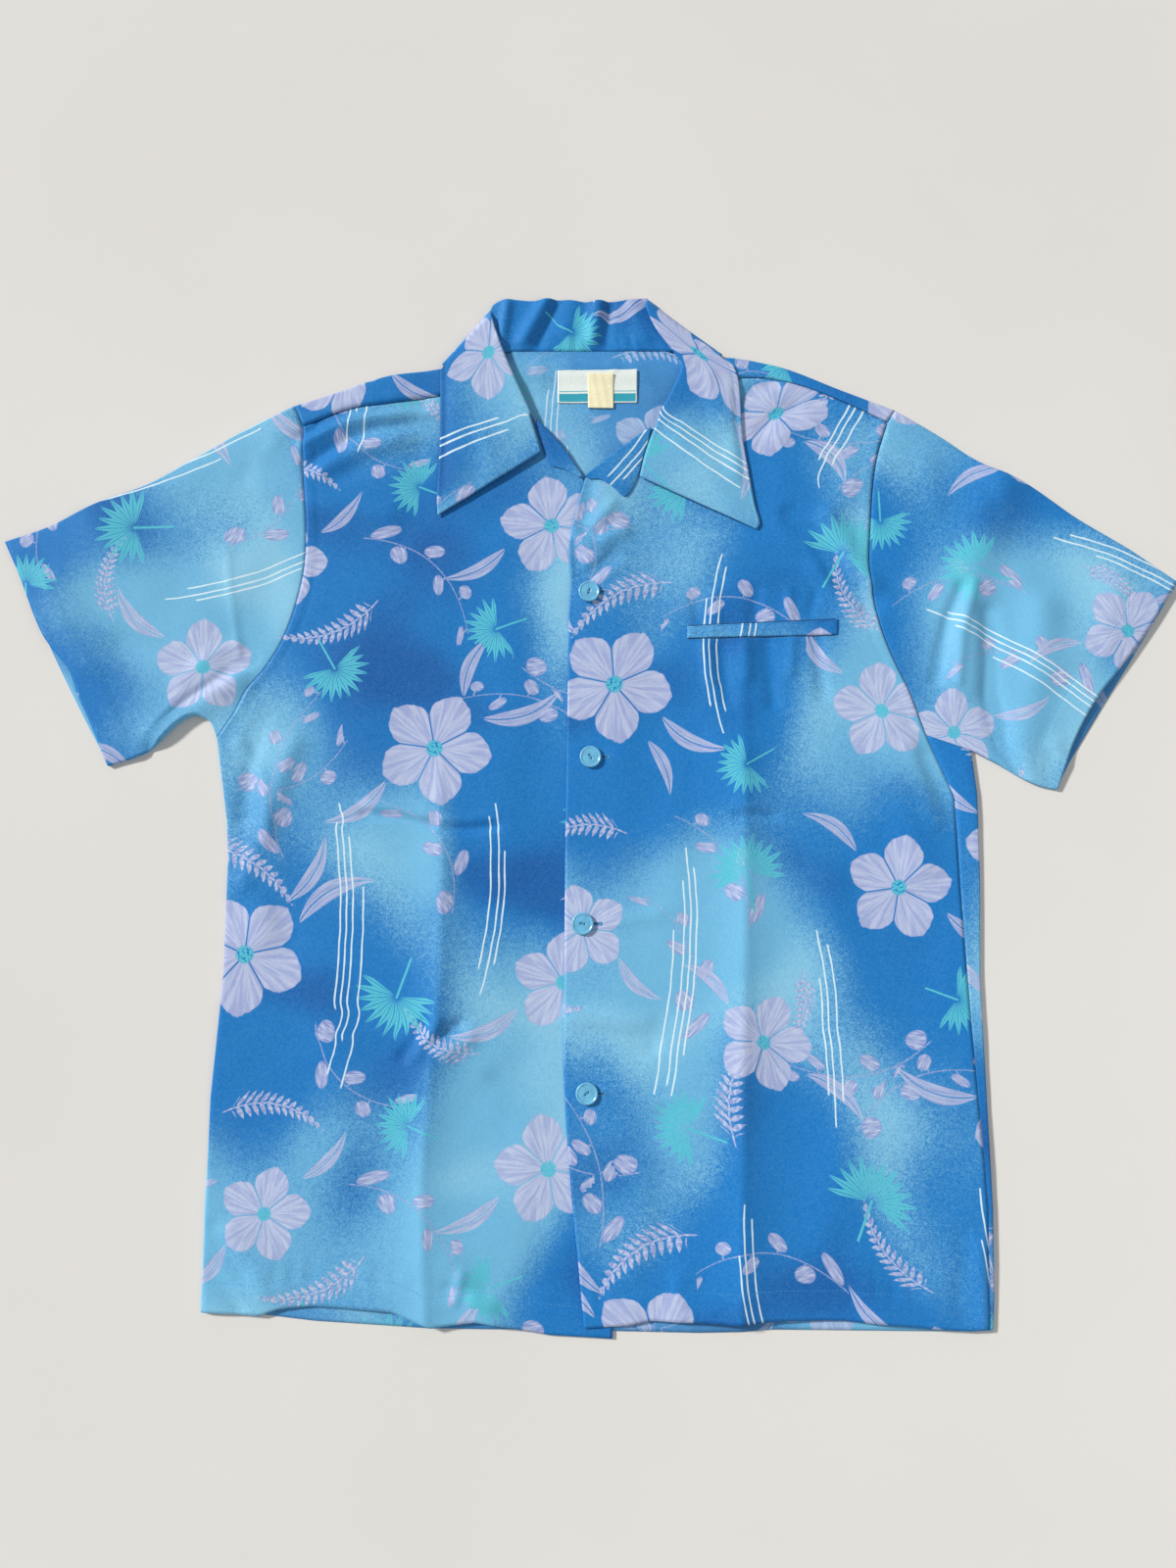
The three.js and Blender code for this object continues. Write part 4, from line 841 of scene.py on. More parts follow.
def collar():
    rows = [collar_row(section) for section in collar_sections()]
    points = np.array([row[0] for row in rows])
    normals = np.array([row[1] for row in rows])
    steps = np.linalg.norm(np.diff(points[:, -COLLAR_FALL_CELLS - 1:], axis=0), axis=-1).mean(axis=1)
    at = np.concatenate([[0], np.cumsum(steps)])
    wanted = []
    for k, step in enumerate(steps):
        cells = max(2, math.ceil(step / COLLAR_ROW_STEP))
        wanted.extend(at[k] + (at[k + 1] - at[k]) * np.arange(cells) / cells)
    wanted = np.array(wanted + [at[-1]])
    whole = np.isfinite(points[:, 0, 0])
    spans = np.linalg.norm(np.diff(points[whole], axis=1), axis=-1).mean(axis=0)
    column_at = np.concatenate([[0], np.cumsum(spans)])
    column_wanted = []
    for k, cells in enumerate(COLLAR_FINE_CELLS):
        column_wanted.extend(column_at[k] + spans[k] * np.arange(cells) / cells)
    column_wanted = np.array(column_wanted + [column_at[-1]])
    layers = []
    for values in (points, normals):
        values = np.where(np.isfinite(points), values, np.nan)
        fine = refine_rows(values, at, wanted)
        layers.append(refine_rows(fine.transpose(1, 0, 2), column_at, column_wanted).transpose(1, 0, 2))
    points, normals = layers
    normals = normals / np.linalg.norm(normals, axis=-1, keepdims=True)
    edge_gap = np.linalg.norm(points - points[:, -1:], axis=-1)
    lift = soft_folds(points[..., 0], points[..., 1], COLLAR_CREASES)
    seen = np.where(normals[..., 2] > 0.2, 1, 0)
    points[..., 2] += seen * (lift * ramp(edge_gap, 2, 12) + 0.12 * undulation(3 * points[..., 0], 3 * points[..., 1]))
    groove = -0.3 * np.exp(-((edge_gap - 5) / 1.0) ** 2) * seen
    points[..., 2] += groove
    return Panel(points, normals)


def patch(low, high, rows, height, add):
    """Piece that lies on something, between a low edge and a high edge"""
    share = equal(rows)[:, None, None]
    plan = low[None] * (1 - share) + high[None] * share
    points = raised(plan, height, add)
    return Panel(points, facing(points, 1))


def unroll(panel, across, along, anchor, rows_turn=None):
    """Coordinates on the flat cloth: distances across are measured over folds, and those along are in plan"""
    points = panel.points
    if panel.closed:
        points = np.concatenate([points, points[:, :1]], axis=1)
    a = points[..., :2] @ across
    b = points[..., :2] @ along
    steps = np.hypot(np.diff(a, axis=1), np.diff(points[..., 2], axis=1))
    steps = np.nan_to_num(steps)
    total = np.concatenate([np.zeros((len(a), 1)), np.cumsum(steps, axis=1)], axis=1)
    cloth_a = a[:, anchor:anchor + 1] + (total - total[:, anchor:anchor + 1])
    if rows_turn is not None:
        start = rows_turn
        rises = np.hypot(np.diff(b[start:], axis=0), np.diff(points[start:, :, 2], axis=0))
        b[start + 1:] = b[start] + np.cumsum(np.nan_to_num(rises), axis=0)
        cloth_a[start + 1:] = cloth_a[start]
    return np.stack([cloth_a, b], axis=-1)


# Printed cloth. Motifs repeat every so many millimetres each way, and each piece is cut from its own place.
REPEAT = np.array([430.0, 470.0])

# Blossoms: x, y, radius, turn in degrees
BLOSSOMS = [
    (70, 90, 46, 12), (300, 70, 38, 50), (205, 240, 44, 28), (390, 300, 36, 5), (90, 380, 34, 40),
    (290, 410, 40, 64),
]

# Long leaves: x, y of the stalk, length, turn in degrees, bend
LEAVES = [
    (108, 112, 66, 28, 0.16), (100, 128, 56, 62, -0.12), (34, 66, 58, 205, 0.14), (44, 48, 46, 248, -0.1),
    (268, 52, 56, 200, 0.15), (326, 98, 50, 50, -0.14), (240, 262, 64, 22, -0.15), (226, 278, 52, 66, 0.12),
    (170, 216, 58, 212, 0.14), (362, 278, 52, 224, -0.14), (414, 326, 46, 40, 0.12), (64, 360, 46, 222, 0.14),
    (116, 404, 46, 48, -0.12), (256, 392, 54, 206, 0.12), (320, 436, 50, 34, 0.14),
]

# Palm fans: x, y, radius, turn in degrees
PALMS = [
    (180, 60, 33, 250), (20, 240, 30, 20), (330, 190, 35, 120), (130, 300, 28, 300), (250, 330, 27, 200),
    (400, 420, 32, 80), (190, 440, 26, 160), (400, 30, 26, 330),
]

# Trails of buds: x, y of the first bud, length, turn in degrees, bend
TRAILS = [
    (96, 160, 120, 80, 0.16), (330, 240, 110, 160, -0.16), (20, 300, 100, 80, 0.2), (360, 130, 96, 10, 0.18),
    (150, 400, 100, 320, 0.18), (220, 120, 90, 120, -0.2), (270, 300, 100, 350, -0.14),
    (120, 40, 90, 320, -0.18), (400, 380, 90, 60, 0.16), (60, 210, 80, 20, -0.16),
]

# Fern fronds: x, y of the stalk, length, turn in degrees, bend
FRONDS = [
    (30, 168, 84, 330, 0.14), (300, 130, 70, 60, -0.16), (160, 350, 76, 200, 0.14), (420, 230, 80, 110, -0.14),
    (240, 20, 66, 150, 0.16), (60, 450, 70, 350, 0.16), (360, 350, 60, 285, -0.12),
]

# Groups of lines: x, y of the upper end, length, turn in degrees, bend, arrangement
RAYS = [
    (140, 200, 210, 268, 0.05, 1), (350, 380, 190, 272, -0.06, 2), (250, 200, 150, 265, 0.06, 2),
    (20, 440, 170, 274, -0.05, 1), (420, 190, 130, 270, 0.07, 2),
]

# Where each piece is cut from: x, y, turn in degrees
CUTS = {
    "back": (40, 120, 0), "front_right": (318, 214, 0), "front_left": (120, 16, 0), "sleeve_right": (60, 300, 0),
    "sleeve_left": (250, 130, 0), "collar": (210, 60, 0), "facing_left": (90, 330, 30),
    "facing_right": (20, 60, 40), "pocket_welt": (130, -10, 0),
}


def cut(cloth, name):
    dx, dy, degrees = CUTS[name]
    c, s = math.cos(math.radians(degrees)), math.sin(math.radians(degrees))
    turned = np.stack([cloth[..., 0] * c - cloth[..., 1] * s, cloth[..., 0] * s + cloth[..., 1] * c], axis=-1)
    return turned + [dx, dy]


def place(corners, centres, x, y, degrees):
    """Coordinates of face corners in a motif's own frame, with the repeat that is nearest the face"""
    origin = np.array([x, y], float)
    shift = np.round((centres - origin) / REPEAT) * REPEAT
    local = corners - origin - shift[:, None]
    c, s = math.cos(math.radians(degrees)), math.sin(math.radians(degrees))
    return np.stack([local[..., 0] * c + local[..., 1] * s, local[..., 1] * c - local[..., 0] * s], axis=-1)


def nearest(layer, local, span, kind, score):
    """Keeps the motif that each face is nearest to: its coordinates over its span, and its kind"""
    better = score < layer["score"]
    layer["score"][better] = score[better]
    layer["values"][better] = np.concatenate([local / span, np.full(local.shape[:2] + (1,), kind)], axis=-1)[better]


def bent(local, length, bend):
    """Straightens a motif that is bent like a bow"""
    u = local[..., 0]
    d = local[..., 1] - 4 * bend * u * (1 - u / length)
    return np.stack([u, d], axis=-1)


def new_layer(count):
    return {"score": np.full(count, 1.0), "values": np.zeros((count, 4, 3))}


def print_layers(corners):
    """Coordinates of each face corner in the nearest blossom, leaf, trail and group of lines"""
    centres = corners.mean(axis=1)
    layers = {name: new_layer(len(corners)) for name in ("blossom", "leaf", "trail", "rays")}
    for x, y, radius, degrees in BLOSSOMS:
        local = place(corners, centres, x, y, degrees)
        score = np.linalg.norm(local.mean(axis=1), axis=1) / (1.25 * radius)
        nearest(layers["blossom"], local, radius, 1, score)
    for x, y, length, degrees, bend in LEAVES:
        local = bent(place(corners, centres, x, y, degrees), length, bend)
        middle = local.mean(axis=1) - [length / 2, 0]
        score = np.hypot(middle[:, 0] / (0.62 * length), middle[:, 1] / (0.3 * length))
        nearest(layers["leaf"], local, length, 1, score)
    for x, y, radius, degrees in PALMS:
        local = place(corners, centres, x, y, degrees)
        score = np.linalg.norm(local.mean(axis=1), axis=1) / (1.25 * radius)
        nearest(layers["leaf"], local, radius, 2, score)
    for x, y, length, degrees, bend in TRAILS:
        local = bent(place(corners, centres, x, y, degrees), length, bend)
        middle = local.mean(axis=1) - [length / 2, 0]
        score = np.maximum(np.abs(middle[:, 0]) / (0.5 * length + 8), np.abs(middle[:, 1]) / 21)
        nearest(layers["trail"], local, 100, 1, score)
    for x, y, length, degrees, bend in FRONDS:
        local = bent(place(corners, centres, x, y, degrees), length, bend)
        middle = local.mean(axis=1) - [length / 2, 0]
        score = np.maximum(np.abs(middle[:, 0]) / (0.5 * length + 5), np.abs(middle[:, 1]) / 16)
        nearest(layers["trail"], local, length, 2, score)
    for x, y, length, degrees, bend, kind in RAYS:
        local = bent(place(corners, centres, x, y, degrees), length, bend)
        middle = local.mean(axis=1) - [length / 2, 0]
        score = np.maximum(np.abs(middle[:, 0]) / (0.5 * length + 8), np.abs(middle[:, 1]) / 17)
        nearest(layers["rays"], local, 100, kind, score)
    return {name: layer["values"] for name, layer in layers.items()}


def grid_faces(panel, thickness):
    """Closed shell through a panel's grid: vertices, faces, each vertex's grid place, and which side faces are on"""
    points, normals = panel.points, panel.normals
    rows, columns = points.shape[:2]
    solid = np.isfinite(points[..., 0])
    index = np.arange(rows * columns).reshape(rows, columns)
    following = np.roll(index, -1, axis=1) if panel.closed else index[:, 1:]
    here = index if panel.closed else index[:, :-1]
    cells = np.stack([here[:-1], following[:-1], following[1:], here[1:]], axis=-1).reshape(-1, 4)
    cells = cells[solid.ravel()[cells].all(axis=1)]
    flat_points = points.reshape(-1, 3)
    flat_normals = normals.reshape(-1, 3)
    a, b, d = (flat_points[cells[:, k]] for k in (0, 1, 3))
    facing_out = np.einsum("ij,ij->i", np.cross(b - a, d - a), flat_normals[cells[:, 0]])
    wide = len(cells) and columns
    if np.median(facing_out) < 0:
        cells = cells[:, ::-1]
    count = rows * columns
    starts = cells.ravel()
    stops = np.roll(cells, -1, axis=1).ravel()
    codes = starts.astype(np.int64) * count + stops
    reverse = stops.astype(np.int64) * count + starts
    rim = ~np.isin(codes, reverse)
    outer, inner = cells, cells[:, ::-1] + count
    rims = np.stack([stops[rim], starts[rim], starts[rim] + count, stops[rim] + count], axis=1)
    faces = np.vstack([outer, inner, rims])
    side = np.concatenate([np.zeros(len(outer)), np.ones(len(inner)), np.full(len(rims), 2)])
    both = np.vstack([flat_points + flat_normals * thickness / 2, flat_points - flat_normals * thickness / 2])
    used = np.unique(faces)
    renumber = np.full(2 * count, -1)
    renumber[used] = np.arange(len(used))
    assert wide
    return both[used], renumber[faces], faces % count, side


def to_frame(points):
    return (points - MIDDLE) * METRES


def new_mesh(name, points, faces, smooth_faces=None):
    mesh = bpy.data.meshes.new(name)
    mesh.from_pydata(to_frame(points).tolist(), [], [list(face) for face in faces])
    shades = np.ones(len(faces), bool) if smooth_faces is None else smooth_faces
    mesh.polygons.foreach_set("use_smooth", shades)
    mesh.update()
    return mesh


def set_attribute(mesh, name, kind, values):
    field = "vector" if kind == "FLOAT_VECTOR" else "value"
    attribute = mesh.attributes.new(name, kind, "CORNER")
    attribute.data.foreach_set(field, np.ascontiguousarray(values, dtype=np.float32).ravel())


def add_piece(name, mesh, material, slot, nodes=()):
    mesh.materials.append(material)
    piece = bpy.data.objects.new(name, mesh)
    bpy.context.scene.collection.objects.link(piece)
    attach(piece, "root")
    if nodes:
        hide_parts(*nodes)
    return piece


def flat_cut(panel):
    """Width, length and area of a panel as it is cut, from its coordinates on the flat cloth"""
    cloth = panel.cloth
    solid = np.isfinite(panel.points[..., 0])
    if panel.closed:
        solid = np.concatenate([solid, solid[:, :1]], axis=1)
    cells = solid[:-1, :-1] & solid[1:, :-1] & solid[:-1, 1:] & solid[1:, 1:]
    one = cloth[1:, 1:] - cloth[:-1, :-1]
    other = cloth[1:, :-1] - cloth[:-1, 1:]
    area = np.abs(one[..., 0] * other[..., 1] - one[..., 1] * other[..., 0]) / 2
    width, length = cloth[solid].max(axis=0) - cloth[solid].min(axis=0)
    return (width * METRES, length * METRES), float(area[cells].sum()) * METRES ** 2


def cloth_piece(name, panel, material, slot="print_cloth", thickness=SHELL, printed=True):
    points, faces, places, side = grid_faces(panel, thickness)
    mesh = new_mesh(name, points, faces.tolist(), side < 2)
    cloth = panel.cloth
    if panel.closed:
        rows, columns = panel.points.shape[:2]
        row, column = places // columns, places % columns
        last = (column.max(axis=1) - column.min(axis=1) > 1)[:, None]
        column = np.where(last & (column == 0), columns, column)
        corners = cloth[row, column]
    else:
        corners = cloth.reshape(-1, 2)[places]
    if printed:
        corners = cut(corners, name)
        for layer, values in print_layers(corners).items():
            set_attribute(mesh, layer, "FLOAT_VECTOR", values)
    flat = np.concatenate([corners, np.zeros(corners.shape[:2] + (1,))], axis=-1)
    set_attribute(mesh, "cloth", "FLOAT_VECTOR", flat)
    set_attribute(mesh, "inside", "FLOAT", np.repeat((side == 1).astype(float), 4))
    piece = add_piece(name, mesh, material, slot, [name])
    flat, area = flat_cut(panel)
    return piece


class Signal:
    """Number in a node tree, so that its arithmetic can be written out plainly"""

    def __init__(self, tree, socket):
        self.tree = tree
        self.socket = socket

    def maths(self, operation, *others, clamp=False):
        node = self.tree.nodes.new("ShaderNodeMath")
        node.operation = operation
        node.use_clamp = clamp
        for place_in, value in zip(node.inputs, (self, *others)):
            if isinstance(value, Signal):
                self.tree.links.new(value.socket, place_in)
            else:
                place_in.default_value = value
        return Signal(self.tree, node.outputs[0])

    def __add__(self, other):
        return self.maths("ADD", other)

    def __sub__(self, other):
        return self.maths("SUBTRACT", other)

    def __mul__(self, other):
        return self.maths("MULTIPLY", other)

    def __truediv__(self, other):
        return self.maths("DIVIDE", other)

    def size(self):
        return self.maths("ABSOLUTE")

    def over(self, start, stop):
        """0 at start and 1 at stop, with a soft step between them. Stop may be the lower one."""
        node = self.tree.nodes.new("ShaderNodeMapRange")
        node.interpolation_type = "SMOOTHSTEP"
        low, high = min(start, stop), max(start, stop)
        self.tree.links.new(self.socket, node.inputs["Value"])
        node.inputs["From Min"].default_value = low
        node.inputs["From Max"].default_value = high
        node.inputs["To Min"].default_value = 0.0 if start < stop else 1.0
        node.inputs["To Max"].default_value = 1.0 if start < stop else 0.0
        return Signal(self.tree, node.outputs["Result"])

    def equals(self, number):
        return self.maths("COMPARE", float(number), 0.4)


class Look:
    """Node tree of one material, with helpers for its attributes, noises and mixes"""

    def __init__(self, name):
        self.material = bpy.data.materials.new(name)
        self.material.use_nodes = True
        self.tree = self.material.node_tree
        self.shader = self.tree.nodes["Principled BSDF"]

    def attribute(self, name):
        node = self.tree.nodes.new("ShaderNodeAttribute")
        node.attribute_name = name
        return node.outputs

    def split(self, vector):
        node = self.tree.nodes.new("ShaderNodeSeparateXYZ")
        self.tree.links.new(vector, node.inputs[0])
        return [Signal(self.tree, output) for output in node.outputs]

    def join(self, *signals):
        node = self.tree.nodes.new("ShaderNodeCombineXYZ")
        for signal, place_in in zip(signals, node.inputs):
            self.tree.links.new(signal.socket, place_in)
        return node.outputs[0]

    def noise(self, vector, scale, detail=2.0, roughness=0.5, stretch=(1, 1, 1), shift=(0, 0, 0)):
        mapping = self.tree.nodes.new("ShaderNodeMapping")
        mapping.inputs["Scale"].default_value = stretch
        mapping.inputs["Location"].default_value = shift
        node = self.tree.nodes.new("ShaderNodeTexNoise")
        node.inputs["Scale"].default_value = scale
        node.inputs["Detail"].default_value = detail
        node.inputs["Roughness"].default_value = roughness
        self.tree.links.new(vector, mapping.inputs["Vector"])
        self.tree.links.new(mapping.outputs[0], node.inputs["Vector"])
        return Signal(self.tree, node.outputs[0])

    def mix(self, factor, low, high):
        node = self.tree.nodes.new("ShaderNodeMix")
        node.data_type = "RGBA"
        self.tree.links.new(factor.socket, node.inputs[0])
        for place_in, value in ((node.inputs[6], low), (node.inputs[7], high)):
            if isinstance(value, tuple):
                place_in.default_value = (*value, 1)
            else:
                self.tree.links.new(value, place_in)
        return node.outputs[2]

    def bump(self, height, distance, strength=1.0, under=None):
        node = self.tree.nodes.new("ShaderNodeBump")
        node.inputs["Distance"].default_value = distance
        node.inputs["Strength"].default_value = strength
        self.tree.links.new(height.socket, node.inputs["Height"])
        if under is not None:
            self.tree.links.new(under, node.inputs["Normal"])
        return node.outputs[0]

    def finish(self, colour, roughness, normal=None, **numbers):
        if isinstance(colour, tuple):
            self.shader.inputs["Base Color"].default_value = (*colour, 1)
        else:
            self.tree.links.new(colour, self.shader.inputs["Base Color"])
        if isinstance(roughness, Signal):
            self.tree.links.new(roughness.socket, self.shader.inputs["Roughness"])
        else:
            self.shader.inputs["Roughness"].default_value = roughness
        if normal is not None:
            self.tree.links.new(normal, self.shader.inputs["Normal"])
        for name, value in numbers.items():
            self.shader.inputs[name.replace("_", " ")].default_value = value
        return self.material


def colour(red, green, blue):
    """Linear colour from the usual 0 to 255 numbers"""
    return tuple((c / 255 / 12.92) if c <= 10 else ((c / 255 + 0.055) / 1.055) ** 2.4 for c in (red, green, blue))


DEEP_BLUE = colour(0, 86, 160)
MID_BLUE = colour(6, 115, 189)
SKY = colour(112, 182, 218)
PALE_SKY = colour(140, 200, 226)
LILAC = colour(170, 176, 214)
LILAC_LIGHT = colour(200, 204, 228)
LILAC_DARK = colour(142, 152, 202)
TURQUOISE = colour(84, 192, 208)
CREAM = colour(222, 240, 244)
INSIDE_TINT = colour(112, 176, 214)


def blossom_masks(look, u, v):
    """Open blossom of five broad ruffled petals: its ink, its brush strokes and its centre"""
    r = (u * u + v * v).maths("SQRT")
    angle = v.maths("ARCTAN2", u)
    turns = angle * (5 / math.tau)
    within = (turns - turns.maths("FLOOR") - 0.5).size()
    ruffle = look.noise(look.join(u, v, u), 5.0, 1.0)
    reach = (within * -1.0 + 0.5).maths("MULTIPLY", 2.0).maths("POWER", 0.42) * 0.52 + 0.46
    edge = reach + ruffle * 0.10 - 0.05 - r
    gap = (within * -1.0 + 0.5) * r
    ink = edge.over(-0.006, 0.012) * gap.over(0.004, 0.016) * r.over(0.10, 0.16)
    streak = look.noise(look.join(angle, r, u), 1.0, 2.0, stretch=(9, 1.6, 0))
    outline = edge.over(0.05, 0.0)
    centre = r.over(0.16, 0.11) * look.noise(look.join(u, v, u), 26.0, 0.0).over(0.3, 0.5)
    return ink, (streak.over(0.38, 0.62) - outline * 0.55).maths("MAXIMUM", 0.0), centre


def leaf_masks(look, u, v):
    """Long pointed leaf with a midrib and slanting veins"""
    along = u.maths("MAXIMUM", 0.0).maths("MINIMUM", 1.0)
    width = (along.maths("POWER", 0.8) * math.pi).maths("SINE").maths("MAXIMUM", 0.0) * 0.105
    side = v.size()
    ink = (width - side).over(-0.002, 0.008) * u.over(0.0, 0.02)
    slant = (along * 15.0 - side * 46.0).maths("FRACT")
    veins = (slant - 0.5).size().over(0.1, 0.3)
    rib = side.over(0.004, 0.010)
    brush = look.noise(look.join(u, v, v), 1.0, 2.0, stretch=(3, 38, 0))
    return ink * rib, veins * 0.4 + brush.over(0.35, 0.65) * 0.6


def palm_masks(look, u, v):
    """Fan palm: thirteen blades, joined into one round web near a long stalk"""
    spacing = math.radians(17)
    r = (u * u + v * v).maths("SQRT")
    angle = v.maths("ARCTAN2", u)
    number = (angle / spacing).maths("ROUND").maths("MAXIMUM", -6.0).maths("MINIMUM", 6.0)
    off = angle - number * spacing
    reach = (number * 2.1).maths("SINE") * 0.05 + 0.93
    along = r * off.maths("COSINE") / reach
    across = (r * off.maths("SINE")).size()
    width = (along * -1.0 + 1.0).maths("MAXIMUM", 0.0).maths("POWER", 0.8) * 0.17
    blades = (width - across).over(-0.002, 0.008) * r.over(0.05, 0.07)
    web = r.over(0.56, 0.54) * (angle.size() - 1.86).over(0.03, 0.0)
    pleats = across.over(0.004, 0.012)
    gaps = (off.size() * -1.0 + spacing / 2) * r
    stalk = v.size().over(0.03, 0.02) * u.over(-0.9, -0.86) * u.over(0.06, 0.02)
    fan = (blades * (angle.size() - 1.86).over(0.03, 0.0)).maths("MAXIMUM", web) * pleats * gaps.over(0.001, 0.006)
    return fan.maths("MAXIMUM", stalk)


def trail_masks(look, s, d):
    """Stem with round buds on both sides in turn, smaller towards its end"""
    pitch = 19.0
    s = s * 100.0
    d = d * 100.0
    number = (s / pitch).maths("FLOOR")
    side = number.maths("MODULO", 2.0) * -2.0 + 1.0
    ls = s - (number + 0.5) * pitch
    ld = d * side - 8.0
    c, q = math.cos(0.7), math.sin(0.7)
    e1 = (ls * c + ld * q) / 9.6
    e2 = (ld * c - ls * q) / 6.2
    scale = s * -0.0040 + 1.0
    r = (e1 * e1 + e2 * e2).maths("SQRT") / scale
    buds = r.over(1.03, 0.93) * s.over(0.5, 2.0) * scale.over(0.42, 0.5)
    stem = (d.size() - scale * 0.5).over(0.25, 0.0) * s.over(-2.0, 0.0) * scale.over(0.38, 0.45)
    joint = (ls.size()).over(0.9, 0.4) * ld.over(0.5, -1.0) * (d * side).over(-0.2, 0.4) * scale.over(0.42, 0.5)
    strokes = look.noise(look.join(e1, e2, e2), 1.0, 2.0, stretch=(1.2, 5.0, 0), shift=(0, 0, 4))
    return buds.maths("MAXIMUM", stem * 0.75).maths("MAXIMUM", joint * 0.75), strokes.over(0.35, 0.65) - r.over(0.7, 1) * 0.5


def frond_masks(look, u, v):
    """Tapered frond with narrow leaflets in pairs, slanting towards its tip"""
    side = v.size()
    cells = (u * 1.02 - side * 0.62) * 13.0
    within = (cells - cells.maths("FLOOR") - 0.5).size()
    reach = (u * -1.0 + 1.02).maths("MAXIMUM", 0.0).maths("POWER", 0.6) * 0.17
    taper = (side / reach.maths("MAXIMUM", 0.02)).maths("MINIMUM", 1.0)
    width = (taper.maths("POWER", 0.7) * math.pi).maths("SINE").maths("MAXIMUM", 0.0) * 0.36
    leaflets = (width - within).over(-0.02, 0.06) * (side - reach).over(0.0, -0.01) * cells.over(0.6, 0.8)
    stem = side.over(0.012, 0.006) * u.over(-0.05, 0.0) * u.over(1.0, 0.96)
    strokes = look.noise(look.join(u, v, v), 30.0, 1.0)
    return leaflets.maths("MAXIMUM", stem) * u.over(-0.05, 0.0), strokes.over(0.35, 0.65)


def ray_masks(look, s, d, kind):
    """Thin hand-drawn lines, each with its own ends"""
    s = s * 100.0
    d = d * 100.0
    wobble = (look.noise(look.join(s, kind, kind), 0.035, 1.0) - 0.5) * 2.6
    d = d + wobble
    thick = look.noise(look.join(s, d, kind), 0.16, 1.0, stretch=(1, 0.2, 1)) * 0.4 + 0.24
    arrangements = {
        1: [(-9.0, 14.0, 150.0), (-4.6, 0.0, 196.0), (0.0, 24.0, 172.0), (7.5, 60.0, 205.0)],
        2: [(-6.0, 10.0, 122.0), (0.0, 0.0, 140.0), (4.2, 34.0, 118.0)],
    }
    total = None
    for number, rows in arrangements.items():
        lines = None
        for offset, start, stop in rows:
            one = ((d - offset).size() - thick).over(0.28, 0.0) * s.over(start, start + 1.5) * s.over(stop, stop - 3.0)
            lines = one if lines is None else lines.maths("MAXIMUM", one)
        lines = lines * kind.equals(number)
        total = lines if total is None else total + lines
    return total


def printed_look():
    look = Look("printed_cloth")
    cloth = look.attribute("cloth")["Vector"]
    blot = look.noise(cloth, 0.0050, 1.6, 0.42, stretch=(1.15, 0.85, 1), shift=(3.1, 7.7, 0))
    second = look.noise(cloth, 0.0085, 1.2, 0.4, stretch=(0.8, 1.2, 1), shift=(31.0, 12.0, 5))
    grain = look.noise(cloth, 1.15, 2.0, 0.8, shift=(2, 5, 3)) - 0.5
    spray = look.noise(cloth, 0.26, 1.0, 0.7, shift=(9, 1, 7)) - 0.5
    speckle = grain * 0.24 + spray * 0.04
    fleck = look.noise(cloth, 0.62, 2.0, 0.75, shift=(4, 8, 1)) - 0.5
    sky = (blot + speckle).over(0.46, 0.61)
    ground = look.mix(sky, MID_BLUE, SKY)
    deep = (second + speckle).over(0.50, 0.68) * (blot + speckle * 0.6).over(0.56, 0.44)
    ground = look.mix(deep, ground, DEEP_BLUE)
    pale = (second * -1.0 + 1.0 + speckle).over(0.50, 0.66) * (blot + speckle).over(0.50, 0.62)
    ground = look.mix(pale, ground, PALE_SKY)
    u, v, kind = look.split(look.attribute("trail")["Vector"])
    ink, tone = trail_masks(look, u, v)
    ground = look.mix(ink * kind.equals(1) * 0.88, ground, look.mix(tone, LILAC_DARK, LILAC_LIGHT))
    ink, tone = frond_masks(look, u, v)
    ground = look.mix(ink * kind.equals(2) * 0.88, ground, look.mix(tone, LILAC_DARK, LILAC_LIGHT))
    u, v, kind = look.split(look.attribute("leaf")["Vector"])
    ink, tone = leaf_masks(look, u, v)
    ground = look.mix(ink * kind.equals(1) * 0.84, ground, look.mix(tone, LILAC_DARK, LILAC_LIGHT))
    ground = look.mix(palm_masks(look, u, v) * kind.equals(2), ground, TURQUOISE)
    u, v, kind = look.split(look.attribute("blossom")["Vector"])
    ink, tone, centre = blossom_masks(look, u, v)
    ground = look.mix(ink * kind.equals(1) * 0.9, ground, look.mix(tone, LILAC, LILAC_LIGHT))
    ground = look.mix(centre * kind.equals(1), ground, TURQUOISE)
    u, v, kind = look.split(look.attribute("rays")["Vector"])
    ground = look.mix(ray_masks(look, u, v, kind) * 0.95, ground, CREAM)
    inside = Signal(look.tree, look.attribute("inside")["Fac"])
    ground = look.mix(inside * 0.32, ground, INSIDE_TINT)
    ground = look.mix(fleck.over(0.35, -0.35) * 0.16, ground, DEEP_BLUE)
    ground = look.mix(fleck.over(-0.30, 0.45) * 0.12, ground, PALE_SKY)
    crepe = look.noise(cloth, 1.5, 3.0, 0.6)
    weave = (look.noise(cloth, 3.2, 0.0, stretch=(1, 0.18, 1)) + look.noise(cloth, 3.2, 0.0, stretch=(0.18, 1, 1))) * 0.5
    normal = look.bump(crepe, 0.00016, 0.55, look.bump(weave, 0.00010, 0.5))
    rough = grain * 0.12 + 0.62
    return look.finish(ground, rough, normal, Sheen_Weight=0.05, Sheen_Roughness=0.4, Specular_IOR_Level=0.2)


